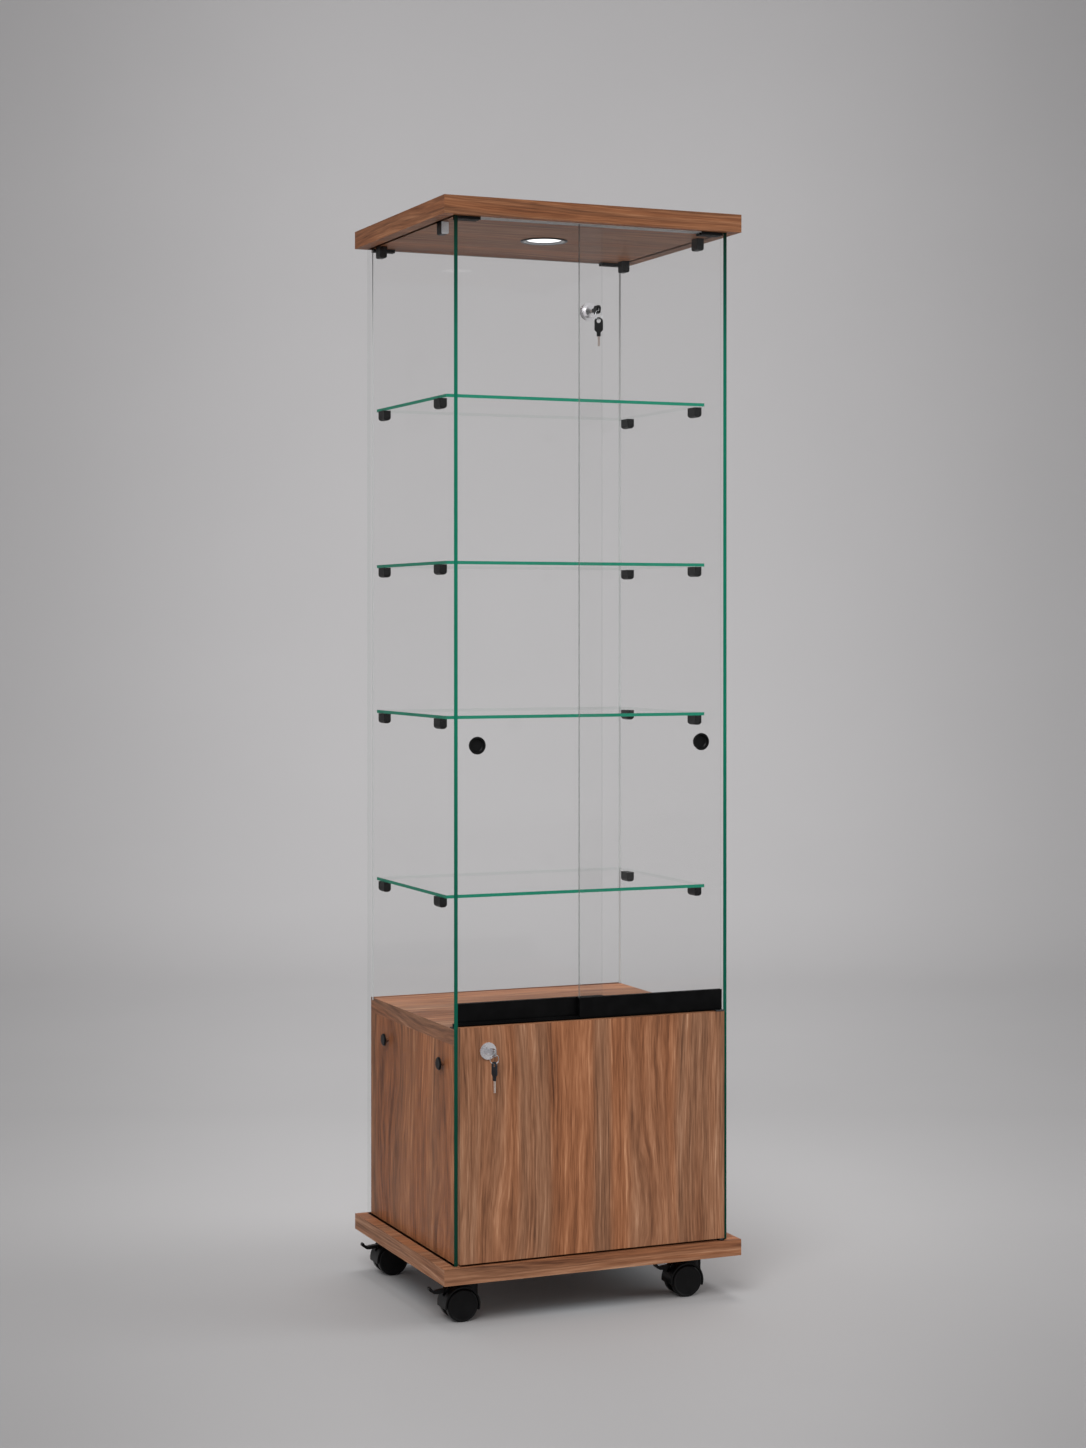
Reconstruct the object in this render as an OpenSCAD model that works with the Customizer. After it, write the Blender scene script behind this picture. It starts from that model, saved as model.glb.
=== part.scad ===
// Glass display tower on casters: a walnut-faced cabinet with a hinged lockable door below,
// four glass shelves behind two sliding glass doors above, and a recessed spotlight in the top.
// Front is -Y, up is +Z. The origin is on the floor, under the middle of the bounding box.

/* [Boards] */
// Width of the top and base boards
board_w = 500; // [440:5:600]
// Depth of the top and base boards
board_d = 410; // [390:5:480]
// Thickness of the top board
top_t = 28; // [26:1:36]
// Thickness of the base board
base_t = 25; // [22:1:36]
// Thickness of the board that carries the display
floor_t = 25; // [22:1:32]
// Thickness of the cabinet's sides and back
panel_t = 16; // [14:1:19]
// Height of the cabinet's sides
cabinet_h = 330; // [240:10:420]
// Clear height of the glass display
display_h = 1229; // [1150:1:1400]

/* [Glass] */
// Thickness of the side panes
side_t = 6; // [5:1:8]
// Thickness of the shelves
shelf_t = 5; // [4:1:8]
// Thickness of the sliding panes
pane_t = 5; // [4:0.5:5]
// Thickness of the back pane
back_t = 5; // [4:1:6]
// How far the boards stand out beside the side panes
side_overhang = 20; // [16:1:30]
// How far the boards stand out in front of the side panes
front_overhang = 12; // [12:1:20]
// How far the boards stand out behind the side panes
rear_overhang = 4; // [2:1:10]
// Space between a board and the pane beside it
board_gap = 0.5; // [0.3:0.1:1]
// Space between a shelf and the side pane
shelf_gap = 4; // [2:0.5:6]
// From the side panes' front edge to the shelves' front edge
shelf_front = 58; // [40:1:80]
// From the side panes' rear edge to the shelves' rear edge
shelf_rear = 19; // [17:1:40]
// Undersides of the shelves above the display floor
shelf_heights = [960, 705, 468, 194];

/* [Brackets] */
// Length of a shelf support along the pane
support_l = 26; // [20:1:32]
// How far a shelf support stands out from the pane
support_t = 12; // [11:1:16]
// Height of a shelf support
support_h = 16; // [12:1:20]
// Radius of the shelf supports' lower corners
support_r = 5; // [2:0.5:5.5]
// Length of a bracket under the top board
bracket_l = 20; // [16:1:28]
// Height of that bracket
bracket_h = 19; // [15:1:26]
// Radius of its lower corners
bracket_r = 3; // [1.5:0.5:5]
// From the side panes' front edge to the front supports' middle
support_front = 89; // [75:1:110]
// From the side panes' rear edge to the rear supports' middle
support_rear = 51; // [36:1:70]
// From the side panes' front edge to the front top brackets' middle
bracket_front = 78; // [60:1:110]
// From the side panes' rear edge to the rear top brackets' middle
bracket_rear = 36; // [30:1:70]
// Length of the blocks at the top corners
corner_l = 37; // [28:1:45]
// Diameter of the caps that hold the side panes to the cabinet
cap_d = 20; // [14:1:24]
// From the display floor's underside down to those caps
cap_drop = 33; // [20:1:80]
// From the side panes' front edge to the front caps
cap_front = 63; // [45:1:100]
// From the side panes' rear edge to the rear caps
cap_rear = 82; // [45:1:100]

/* [Cabinet door] */
// Thickness of the cabinet door
door_t = 16; // [14:1:16]
// How far the cabinet door stands in front of the side panes
door_proud = 7; // [6:0.5:9]
// Space at the cabinet door's sides
door_gap = 1.5; // [1.5:0.1:2.5]
// Space under the cabinet door
door_foot = 3.5; // [2.5:0.5:6]
// How far the cabinet door rises above the display floor
door_rise = 5; // [2:0.5:5]
// Pivot pins' distance from the door's edge and from its face
pivot_in = 4; // [3.8:0.1:4.2]
// Diameter of the pivot pins
pivot_d = 4; // [3:0.5:5]

/* [Sliding doors] */
// Overlap of the two sliding panes
pane_lap = 43; // [36:1:60]
// Distance between the middles of the two sliding panes
pane_pitch = 10; // [10:0.5:12]
// Outer pane's middle behind the side panes' front edge
pane_in = 5.5; // [5:0.1:6]
// Thickness of the rail under a sliding pane
rail_t = 8; // [7.5:0.1:9]
// Height of that rail
rail_h = 30; // [26:1:36]
// Diameter of the rollers in the rail
roller_d = 9; // [8:0.5:10]
// Rollers' distance from the rail's middle
roller_x = 90; // [60:5:100]
// Outer diameter of the finger pulls
pull_d = 27; // [22:1:32]
// Finger pulls' distance from the side pane
pull_in = 37; // [30:1:45]
// Height of the finger pulls above the display floor
pull_z = 429; // [380:1:520]

/* [Locks] */
// Diameter of a lock's face ring
lock_face_d = 26; // [23:0.5:28]
// Diameter of a lock's barrel
barrel_d = 19; // [18:0.5:20]
// Diameter of the plug that the key turns
plug_d = 9; // [8:0.5:9.5]
// Height of the upper lock above the display floor
upper_lock_z = 1094; // [1000:1:1120]
// Upper lock's distance from the outer pane's free edge
upper_lock_in = 16; // [14:0.5:18]
// Lower lock below the display floor's underside
lower_lock_drop = 6.5; // [6:0.5:12]
// Lower lock's distance from the cabinet door's free edge
lower_lock_in = 44.5; // [34:0.5:60]
// Length of a key's head
head_l = 23; // [21:0.5:26]
// Width of a key's head
head_w = 13; // [12:0.5:14]
// Length of the lower lock's key blade
blade_l = 18.5; // [15:0.5:20]
// Length of the upper lock's key blade
upper_blade_l = 15.5; // [13:0.5:15.5]
// Diameter of a key ring's middle line
ring_d = 14; // [14:0.5:16]
// Diameter of a key ring's wire
wire_d = 1; // [0.8:0.1:1]

/* [Spotlight] */
// Diameter of the spotlight's bezel
bezel_d = 76; // [74:1:90]
// Diameter of the spotlight's lens
lens_d = 56; // [44:1:60]
// Depth of the spotlight's housing in the board
lamp_h = 18; // [12:1:22]

/* [Casters] */
// Height of a caster with its plate
caster_h = 68; // [66:1:76]
// Diameter of the wheels
wheel_d = 50; // [44:1:50]
// Width of the twin wheels over both faces
twin_w = 38; // [34:1:44]
// Swivel axes' distance from the board's ends
caster_in = 60; // [55:1:90]
// Front swivel axes' distance from the board's front edge
caster_front = 59; // [55:1:80]
// Rear swivel axes' distance from the board's rear edge
caster_rear = 42; // [40:1:70]
// How far the wheel's axis trails the swivel axis
trail = 14; // [12:1:20]

/* [Hidden] */
$fn = 64;

// A cut runs this far past the face that it opens
past = 1;
// Radial clearance of a shaft in its bore
run_fit = 0.05;
// Clearance of a part that is set in a recess
set_fit = 0.1;

// Side panes
glass_x = board_w / 2 - side_overhang;
inner_x = glass_x - side_t;
front_y = -board_d / 2;
rear_y = board_d / 2;
glass_front = front_y + front_overhang;
glass_rear = rear_y - rear_overhang;

// Levels
base_z = caster_h;
deck_z = base_z + base_t;
under_floor_z = deck_z + cabinet_h;
floor_z = under_floor_z + floor_t;
top_z = floor_z + display_h;

// Cabinet
board_x = inner_x - board_gap;
door_x = inner_x - door_gap;
door_front = glass_front - door_proud;
door_back = door_front + door_t;
door_low = deck_z + door_foot;
door_high = floor_z + door_rise;
floor_front = door_back + 2.5;
groove_deep = 4;
groove_inset = 6;
back_y = glass_rear - groove_inset - back_t;

// Sliding doors
outer_y = glass_front + pane_in;
inner_y = outer_y + pane_pitch;
pane_w = door_x + pane_lap / 2;
pane_stop = door_x;
track_leg = 1.6;
track_deck_t = 1.3;
track_z = floor_z + 7;
deck_top = track_z + track_deck_t;
rib_w = 1.6;
rib_h = 2.7;
rib_top = deck_top + rib_h;
track_nose = outer_y - 3.4;
track_back = inner_y + 8.1;
track_foot = 11;
rail_low = deck_top + 0.5;
rail_top = rail_low + rail_h;
rail_slot = 5.6;
rail_end = 1;
roller_lift = 0.2;
roller_z = rib_top + roller_lift + roller_d / 2;
roller_w = 4;
roller_pin_d = 2.4;
cavity_top = roller_z + roller_d / 2 + 0.5;
pane_foot = cavity_top + 2;
channel_slot = pane_t + 1;
channel_wall = 1.2;
channel_w = pane_pitch + channel_slot + 2 * channel_wall;
channel_y = (outer_y + inner_y) / 2;
channel_rise = 12;
channel_proud = 1.5;
pane_top = top_z + 6;
block_proud = 5;
jaw = 3;
jaw_h = 5.5;

// Finger pulls
pull_rim = 1.2;
pull_cup_d = pull_d - 3;
pull_x = inner_x - pull_in;

// Locks
upper_lock_x = door_x - pane_w + upper_lock_in;
upper_z = floor_z + upper_lock_z;
upper_face = outer_y - pane_t / 2;
upper_ring_d = lock_face_d + 2;
face_t = 2.2;
barrel_out = 6;
barrel_back = 2.3;
bolt_d = 3.6;
bolt_off = 6.9;
bolt_len = 12.6;
lower_lock_x = -door_x + lower_lock_in;
lower_z = under_floor_z - lower_lock_drop;
lower_face = door_front;
lower_out = 2.8;
lower_back = 8;
cam_t = 2;
cam_w = 11;
cam_l = 27;
neck_l = 6;
neck_w = 6;
head_t = 2.4;
head_taper = 3.5;
eye_d = 6.6;
eye_in = 5.5;
eye_y = neck_l + head_l - eye_in;
wire_drop = 1.9;
blade_w = 3.4;
blade_t = 1.6;
notch = 1;

// How far the keys stay out of their locks, and how their rings and spares are turned
upper_key_out = 3.5;
lower_key_out = 0.5;
upper_ring_turn = 20;
lower_ring_turn = 0;
upper_spare_turn = 55;
lower_spare_turn = 12;

// The lower keys stand furthest forward, and the origin is under the middle of the whole
lower_key_y = lower_face - face_t - lower_out + 2.2;
spare_half = head_w / 2 * cos(lower_spare_turn) + head_t / 2 * sin(lower_spare_turn);
key_reach = front_y - lower_key_y + lower_key_out + max(neck_l + head_l, eye_y + spare_half);
case_y = key_reach / 2;

// Casters
plate_t = 2;
plate_w = 42;
stem_d = 10;
stem_l = 22;
hood_top = base_z - plate_t - 2;
neck_r = 13;
wheel_r = wheel_d / 2;
hood_r = wheel_r + 3.5;
wheel_gap = 1;
web_w = 13;
wheel_w = (twin_w - web_w) / 2 - wheel_gap / 2;
hood_w = twin_w - 3;
hood_front = 4;
hood_rear = 8.5;
neck_half = 10;
hub_d = 24;
axle_d = 6;
lever_w = 8;
lever_pin_d = 2.4;
lever_x = -20;
lever_z = 22;
lever_l = 30;
lever_rise = 6;
caster_x = board_w / 2 - caster_in;
front_caster_y = front_y + caster_front;
rear_caster_y = rear_y - caster_rear;

walnut = "#8a5a3c";
glass_tint = [0.35, 0.62, 0.54, 0.35];
black = "#1a1a1b";
steel = "#b9bcc0";
chrome = "#d8dade";
anodised = "#8f9296";

// ---- helpers ----

// Puts the case's own middle over the origin of the whole box
module at_origin() translate([0, case_y, 0]) children();

// A block between two opposite corners
module block(lo, hi) translate(lo) cube([hi[0] - lo[0], hi[1] - lo[1], hi[2] - lo[2]]);

// A cylinder along +Y from a point
module rod(at, d, l) translate(at) rotate([-90, 0, 0]) cylinder(d = d, h = l);

// The same piece on the left and on the right
module both_sides() {
    children();
    mirror([1, 0, 0]) children();
}

// A profile drawn in Y and Z, extruded along X between two places
module along_x(x0, x1) translate([x0, 0, 0])
    rotate([90, 0, 90]) linear_extrude(height = x1 - x0) children();

// ---- boards ----

module top_board() color(walnut) difference() {
    block([-board_w / 2, front_y, top_z], [board_w / 2, rear_y, top_z + top_t]);
    translate([0, 0, top_z - past]) cylinder(d = lens_d + 12, h = lamp_h + 2 + past);
    rod([0, lens_d / 2, top_z + lamp_h / 2], 6, rear_y);
    block([-board_x, channel_y - channel_w / 2 - set_fit, top_z - past],
          [board_x, channel_y + channel_w / 2 + set_fit, top_z + channel_rise + set_fit]);
}

module base_board() color(walnut) difference() {
    block([-board_w / 2, front_y, base_z], [board_w / 2, rear_y, deck_z]);
    translate([door_x - pivot_in, door_front + pivot_in, deck_z - 14])
        cylinder(d = pivot_d + 4, h = 14 + past);
}

module display_floor() color(walnut) difference() {
    block([-board_x, floor_front, under_floor_z], [board_x, glass_rear, floor_z]);
    block([-board_x - past, back_y - set_fit, floor_z - groove_deep],
          [board_x + past, back_y + back_t + set_fit, floor_z + past]);
    rod([lower_lock_x, floor_front - past, lower_z], barrel_d + 2, door_back + lower_back + 2
        - floor_front + past);
    block([lower_lock_x - cam_w, door_back + lower_back - 1.5, under_floor_z - past],
          [lower_lock_x + cam_l + 2, door_back + lower_back + cam_t + 3, lower_z + cam_l + 2]);
}

module side_panel() color(walnut)
    difference() {
        block([board_x - panel_t, floor_front, deck_z], [board_x, glass_rear, under_floor_z]);
        for (y = cap_places) translate([board_x + past, y, cap_z])
            rotate([0, -90, 0]) cylinder(d = cap_shank + 2 * run_fit, h = cap_deep + past);
    }

module cabinet_right_side() side_panel();
module cabinet_left_side() mirror([1, 0, 0]) side_panel();

module cabinet_back() color(walnut)
    block([-board_x + panel_t, glass_rear - panel_t, deck_z],
          [board_x - panel_t, glass_rear, under_floor_z]);

module cabinet_door() color(walnut) difference() {
    block([-door_x, door_front, door_low], [door_x, door_back, door_high]);
    rod([lower_lock_x, door_front - past, lower_z], barrel_d + 2 * set_fit, door_t + 2 * past);
    for (z = [door_low - past, door_high - pin_hold])
        translate([door_x - pivot_in, door_front + pivot_in, z])
            cylinder(d = pivot_d + 2 * run_fit, h = pin_hold + past);
}

// ---- fixed glass ----

cap_places = [glass_front + cap_front, glass_rear - cap_rear];
cap_z = under_floor_z - cap_drop;
cap_shank = 6;
cap_deep = 12;
cap_t = 3;

module side_glass() color(glass_tint) difference() {
    block([inner_x, glass_front, deck_z], [glass_x, glass_rear, top_z]);
    for (y = cap_places) translate([inner_x - past, y, cap_z])
        rotate([0, 90, 0]) cylinder(d = cap_shank + 2, h = side_t + 2 * past);
}

module right_glass() side_glass();
module left_glass() mirror([1, 0, 0]) side_glass();

module back_glass() color(glass_tint)
    block([-board_x, back_y, floor_z - groove_deep],
          [board_x, back_y + back_t, top_z - 2]);

module shelf(n) color(glass_tint) {
    z = floor_z + shelf_heights[n - 1];
    block([-inner_x + shelf_gap, glass_front + shelf_front, z],
          [inner_x - shelf_gap, glass_rear - shelf_rear, z + shelf_t]);
}

module shelf_1() shelf(1);
module shelf_2() shelf(2);
module shelf_3() shelf(3);
module shelf_4() shelf(4);

// ---- brackets on the side panes ----

// A flat shape as wide as w and as high as h below its top, its two lower corners rounded
module cupped(w, h, corner_r) difference() {
    translate([-w / 2, -h]) square([w, h]);
    for (side = [-1, 1]) difference() {
        translate([side * (w / 2 - corner_r / 2 + past / 2), -h + corner_r / 2 - past / 2])
            square([corner_r + past, corner_r + past], center = true);
        translate([side * (w / 2 - corner_r), -h + corner_r]) circle(r = corner_r);
    }
}

// A block against the right-hand pane, its top at the origin, rounded below on all four sides
module pane_bracket(l, h, corner_r) translate([inner_x - support_t, 0, 0]) intersection() {
    along_x(0, support_t) cupped(l, h, corner_r);
    translate([support_t / 2, l, 0]) rotate([90, 0, 0]) linear_extrude(height = 2 * l)
        cupped(support_t, h, corner_r);
}

support_places = [glass_front + support_front, glass_rear - support_rear];
bracket_places = [glass_front + bracket_front, glass_rear - bracket_rear];

module shelf_supports() color(black)
    for (h = shelf_heights, y = support_places) both_sides()
        translate([0, y, floor_z + h]) pane_bracket(support_l, support_h, support_r);

module top_brackets() color(black)
    for (y = bracket_places) both_sides()
        translate([0, y, top_z]) pane_bracket(bracket_l, bracket_h, bracket_r);

// Front blocks close the sliding doors' channel; rear blocks hold the back pane's top edge
module top_corner_blocks() color(black) both_sides() {
    difference() {
        union() {
            block([board_x - corner_l, channel_y - channel_w / 2 - 1.2, top_z - block_proud],
                  [board_x, channel_y + channel_w / 2 + 1.2, top_z]);
            block([board_x - corner_l, channel_y - channel_w / 2, top_z],
                  [board_x, channel_y + channel_w / 2, top_z + channel_rise]);
        }
        for (y = [outer_y, inner_y])
            block([board_x - corner_l - past, y - channel_slot / 2, top_z - block_proud - past],
                  [door_x + 0.2, y + channel_slot / 2, pane_top + 2]);
    }
    difference() {
        block([board_x - corner_l, back_y - jaw, top_z - jaw_h],
              [board_x, back_y + back_t + jaw, top_z]);
        block([board_x - corner_l - past, back_y - set_fit, top_z - jaw_h - past],
              [board_x + past, back_y + back_t + set_fit, top_z - 2]);
    }
}

// Domed caps on screws that pass through the panes into the cabinet's sides
module glass_caps() color(black) both_sides()
    for (y = cap_places) translate([glass_x, y, cap_z]) rotate([0, 90, 0])
        rotate_extrude() polygon([[0, -side_t - board_gap - cap_deep],
            [cap_shank / 2, -side_t - board_gap - cap_deep], [cap_shank / 2, 0], [cap_d / 2, 0],
            [cap_d / 2, cap_t / 2], [cap_d / 2 - cap_t / 2, cap_t], [0, cap_t]]);

// ---- tracks of the sliding doors ----

module top_channel() color(anodised)
    difference() {
        block([-board_x + corner_l, channel_y - channel_w / 2, top_z - channel_proud],
              [board_x - corner_l, channel_y + channel_w / 2, top_z + channel_rise]);
        for (y = [outer_y, inner_y])
            block([-board_x + corner_l - past, y - channel_slot / 2, top_z - channel_proud - past],
                  [board_x - corner_l + past, y + channel_slot / 2, pane_top + 2]);
    }

module bottom_track() color(black) along_x(-board_x, board_x) {
    translate([track_nose, track_z]) square([track_back - track_nose, track_deck_t]);
    for (y = [outer_y, inner_y])
        translate([y - rib_w / 2, deck_top]) square([rib_w, rib_h]);
    for (y = [floor_front, track_back - track_leg])
        translate([y, floor_z]) square([track_leg, track_z - floor_z]);
    translate([floor_front, floor_z])
        square([track_back - floor_front + track_foot, track_leg]);
}

// ---- sliding doors ----

// Left edge of the outer and of the inner pane
outer_x0 = door_x - pane_w;
inner_x0 = -door_x;

module outer_pane() color(glass_tint) difference() {
    block([outer_x0, outer_y - pane_t / 2, pane_foot],
          [outer_x0 + pane_w, outer_y + pane_t / 2, pane_top]);
    rod([upper_lock_x, outer_y - pane_t, upper_z], barrel_d + 2 * set_fit, 2 * pane_t);
    rod([pull_x, outer_y - pane_t, floor_z + pull_z], pull_cup_d + 2 * set_fit, 2 * pane_t);
}

module inner_pane() color(glass_tint) difference() {
    block([inner_x0, inner_y - pane_t / 2, pane_foot],
          [inner_x0 + pane_w, inner_y + pane_t / 2, pane_top]);
    rod([upper_lock_x, inner_y - pane_t, upper_z - bolt_off], bolt_d + 4, 2 * pane_t);
    rod([-pull_x, inner_y - pane_t, floor_z + pull_z], pull_cup_d + 2 * set_fit, 2 * pane_t);
}

// An extrusion that grips the pane above and hides two rollers below, closed at its free end
module rail(x0, y, free_end) color(black) {
    difference() {
        along_x(x0, x0 + pane_w) difference() {
            translate([y - rail_t / 2, rail_low]) square([rail_t, rail_h]);
            translate([y - rail_slot / 2, rail_low - past])
                square([rail_slot, cavity_top - rail_low + past]);
            translate([y - pane_t / 2, pane_foot]) square([pane_t, rail_top - pane_foot + past]);
        }
        for (side = [-1, 1]) rod([x0 + pane_w / 2 + side * roller_x, y - rail_t, roller_z],
            roller_pin_d, 2 * rail_t);
    }
    for (side = [-1, 1]) rod([x0 + pane_w / 2 + side * roller_x, y - rail_t / 2, roller_z],
        roller_pin_d, rail_t);
    block([free_end < 0 ? x0 - rail_end : x0 + pane_w, y - rail_t / 2, rib_top + 0.2],
          [free_end < 0 ? x0 : x0 + pane_w + rail_end, y + rail_t / 2, rail_top]);
}

module outer_rail() rail(outer_x0, outer_y, -1);
module inner_rail() rail(inner_x0, inner_y, 1);

// A plain wheel with a shallow tread groove, turning on the rail's pin
module roller(x0, y, side) color(steel)
    translate([x0 + pane_w / 2 + side * roller_x, y, roller_z]) rotate([-90, 0, 0])
        rotate_extrude() polygon([[roller_pin_d / 2 + run_fit, -roller_w / 2],
            [roller_d / 2, -roller_w / 2], [roller_d / 2, roller_w / 2],
            [roller_pin_d / 2 + run_fit, roller_w / 2]]);

module outer_roller_left() roller(outer_x0, outer_y, -1);
module outer_roller_right() roller(outer_x0, outer_y, 1);
module inner_roller_left() roller(inner_x0, inner_y, -1);
module inner_roller_right() roller(inner_x0, inner_y, 1);

// A shallow cup set through the pane, with a thin rim on its front
module finger_pull(x, y) color(black)
    translate([x, y - pane_t / 2, floor_z + pull_z]) rotate([-90, 0, 0])
        rotate_extrude() polygon([[0, pane_t - 0.6], [pull_cup_d / 2 - 3, pane_t - 0.6],
            [pull_cup_d / 2 - 1.4, pane_t - 2.2], [pull_cup_d / 2 - 1, -pull_rim],
            [pull_d / 2 - 0.4, -pull_rim], [pull_d / 2, -pull_rim / 2], [pull_d / 2, 0],
            [pull_cup_d / 2, 0], [pull_cup_d / 2, pane_t], [pull_cup_d / 2 - 1, pane_t + 0.8],
            [0, pane_t + 0.8]]);

module outer_pull() finger_pull(pull_x, outer_y);
module inner_pull() finger_pull(-pull_x, inner_y);

// ---- pivots of the cabinet door ----

pin_hold = 16;
pivot_collar = 2.2;
bracket_plate_t = 1.5;
pivot_at = [door_x - pivot_in, door_front + pivot_in];

module pivot_bracket() color(steel) difference() {
    along_x(board_x - 15, board_x) {
        translate([door_front, track_z - bracket_plate_t])
            square([floor_front - door_front, bracket_plate_t]);
        translate([floor_front - bracket_plate_t, under_floor_z + 6])
            square([bracket_plate_t, track_z - under_floor_z - 6]);
    }
    translate([pivot_at[0], pivot_at[1], floor_z]) cylinder(d = pivot_d + 2 * run_fit,
        h = track_z - floor_z + past);
}

module pivot_bush() color(steel) translate([pivot_at[0], pivot_at[1], deck_z]) difference() {
    union() {
        translate([0, 0, -14]) cylinder(d = pivot_d + 4, h = 14);
        cylinder(d = pivot_d + 8, h = 1.2);
    }
    translate([0, 0, -12]) cylinder(d = pivot_d + 2 * run_fit, h = 14 + past);
}

module pivot_pins() color(steel) {
    translate([pivot_at[0], pivot_at[1], deck_z - 11])
        cylinder(d = pivot_d, h = door_foot + 11 + pin_hold - past);
    translate([pivot_at[0], pivot_at[1], door_low - (door_foot - 1.3)])
        cylinder(d = pivot_d + 4, h = door_foot - 1.3);
    translate([pivot_at[0], pivot_at[1], door_high - pin_hold])
        cylinder(d = pivot_d, h = pin_hold + track_z - door_high + 1);
}

// ---- locks ----

// A key has the end of its head's neck at the origin, its blade along +Y, its head along -Y
module key_head() color(black) rotate([90, 0, 90]) translate([0, 0, -head_t / 2])
    linear_extrude(height = head_t) difference() {
        union() {
            translate([-neck_l - head_l + head_w / 2, 0]) circle(d = head_w);
            polygon([[-neck_l - head_l + head_w / 2, -head_w / 2],
                [-neck_l - head_taper, -head_w / 2], [-neck_l, -neck_w / 2], [0, -neck_w / 2],
                [0, neck_w / 2], [-neck_l, neck_w / 2], [-neck_l - head_taper, head_w / 2],
                [-neck_l - head_l + head_w / 2, head_w / 2]]);
        }
        translate([-eye_y, 0]) circle(d = eye_d);
    }

module key_blade(l) color(steel) rotate([90, 0, 90]) translate([0, 0, -blade_t / 2])
    linear_extrude(height = blade_t) polygon([[-notch, -blade_w / 2], [l - notch, -blade_w / 2],
        [l, 0], [l - notch, blade_w / 2], [l - 2 * notch, blade_w / 2],
        [l - 3.5 * notch, blade_w / 2 - notch], [l - 5 * notch, blade_w / 2],
        [l - 6.5 * notch, blade_w / 2 - 0.7 * notch], [l - 8 * notch, blade_w / 2],
        [l - 9.5 * notch, blade_w / 2 - notch], [l - 11 * notch, blade_w / 2],
        [-notch, blade_w / 2]]);

module whole_key(l) {
    key_head();
    key_blade(l);
}

// The wire ring through the key's eye, its plane turned a little about the upright
module key_ring(at, turn) color(steel)
    translate(at - [0, eye_y, wire_drop + ring_d / 2]) rotate([0, 0, turn]) rotate([90, 0, 0])
        rotate_extrude() translate([ring_d / 2, 0]) circle(d = wire_d, $fn = 24);

// The second key hangs from the ring's lowest point, its flat turned further than the ring
module hanging_key(at, turn, l) translate(at - [0, eye_y, 2 * wire_drop + ring_d])
    rotate([0, 0, turn]) rotate([-90, 0, 0]) translate([0, eye_y, 0]) whole_key(l);

// The turning part of a lock, with a keyway a little longer than the blade
module plug_body(plug_l, l) difference() {
    rod([0, 0, 0], plug_d, plug_l);
    block([-blade_t / 2 - set_fit, -past, -blade_w / 2 - set_fit],
          [blade_t / 2 + set_fit, l + set_fit, blade_w / 2 + set_fit]);
}

upper_plug_y = upper_face - face_t - barrel_out;
upper_plug_l = upper_face + pane_t - upper_plug_y + 1.2;
bolt_y = upper_face + pane_t + barrel_back - bolt_len + 0.2;

module upper_lock_barrel() color(chrome) difference() {
    translate([upper_lock_x, 0, upper_z]) {
        rod([0, upper_face - face_t, 0], upper_ring_d, face_t);
        rod([0, upper_plug_y, 0], barrel_d, upper_face + pane_t + barrel_back - upper_plug_y);
        rod([0, upper_face + pane_t, 0], lock_face_d, barrel_back - 0.3);
    }
    rod([upper_lock_x, upper_plug_y - past, upper_z], plug_d + 2 * run_fit,
        upper_plug_l + past + run_fit);
    rod([upper_lock_x, bolt_y - 0.3, upper_z - bolt_off], bolt_d + 2 * run_fit, bolt_len + past);
}

module upper_lock_plug() color(chrome)
    translate([upper_lock_x, upper_plug_y, upper_z])
        plug_body(upper_plug_l, upper_blade_l - upper_key_out);

module upper_lock_bolt() color(steel)
    rod([upper_lock_x, bolt_y, upper_z - bolt_off], bolt_d, bolt_len);

upper_key_at = [upper_lock_x, upper_plug_y - upper_key_out, upper_z];

module upper_key() translate(upper_key_at) whole_key(upper_blade_l);
module upper_key_ring() key_ring(upper_key_at, upper_ring_turn);
module upper_spare_key() hanging_key(upper_key_at, upper_spare_turn, upper_blade_l);

lower_plug_y = lower_key_y;
lower_plug_l = door_back + lower_back - lower_plug_y;

module lower_lock_barrel() color(chrome) difference() {
    translate([lower_lock_x, 0, lower_z]) {
        rod([0, lower_face - face_t, 0], lock_face_d, face_t);
        rod([0, lower_plug_y, 0], barrel_d - 2, lower_face - lower_plug_y);
        rod([0, lower_face, 0], barrel_d, door_t + lower_back);
        rod([0, door_back, 0], lock_face_d - 1, 2.2);
    }
    rod([lower_lock_x, lower_plug_y - past, lower_z], plug_d + 2 * run_fit,
        lower_plug_l + 2 * past);
}

module lower_lock_plug() color(chrome) translate([lower_lock_x, lower_plug_y, lower_z]) {
    plug_body(lower_plug_l, blade_l - lower_key_out);
    rod([0, lower_plug_l - past, 0], 5, cam_t + past);
    rod([0, lower_plug_l + cam_t, 0], 7.5, 1.4);
}

module lower_lock_cam() color(steel)
    translate([lower_lock_x, door_back + lower_back, lower_z]) rotate([-90, 0, 0])
        linear_extrude(height = cam_t) difference() {
            union() {
                circle(d = cam_w);
                translate([0, -cam_w / 2]) square([cam_l - cam_w / 2, cam_w]);
                translate([cam_l - cam_w / 2, 0]) circle(d = cam_w);
            }
            circle(d = 5 + 2 * set_fit);
        }

lower_key_at = [lower_lock_x, lower_plug_y - lower_key_out, lower_z];

module lower_key() translate(lower_key_at) whole_key(blade_l);
module lower_key_ring() key_ring(lower_key_at, lower_ring_turn);
module lower_spare_key() hanging_key(lower_key_at, lower_spare_turn, blade_l);

// ---- spotlight ----

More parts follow.
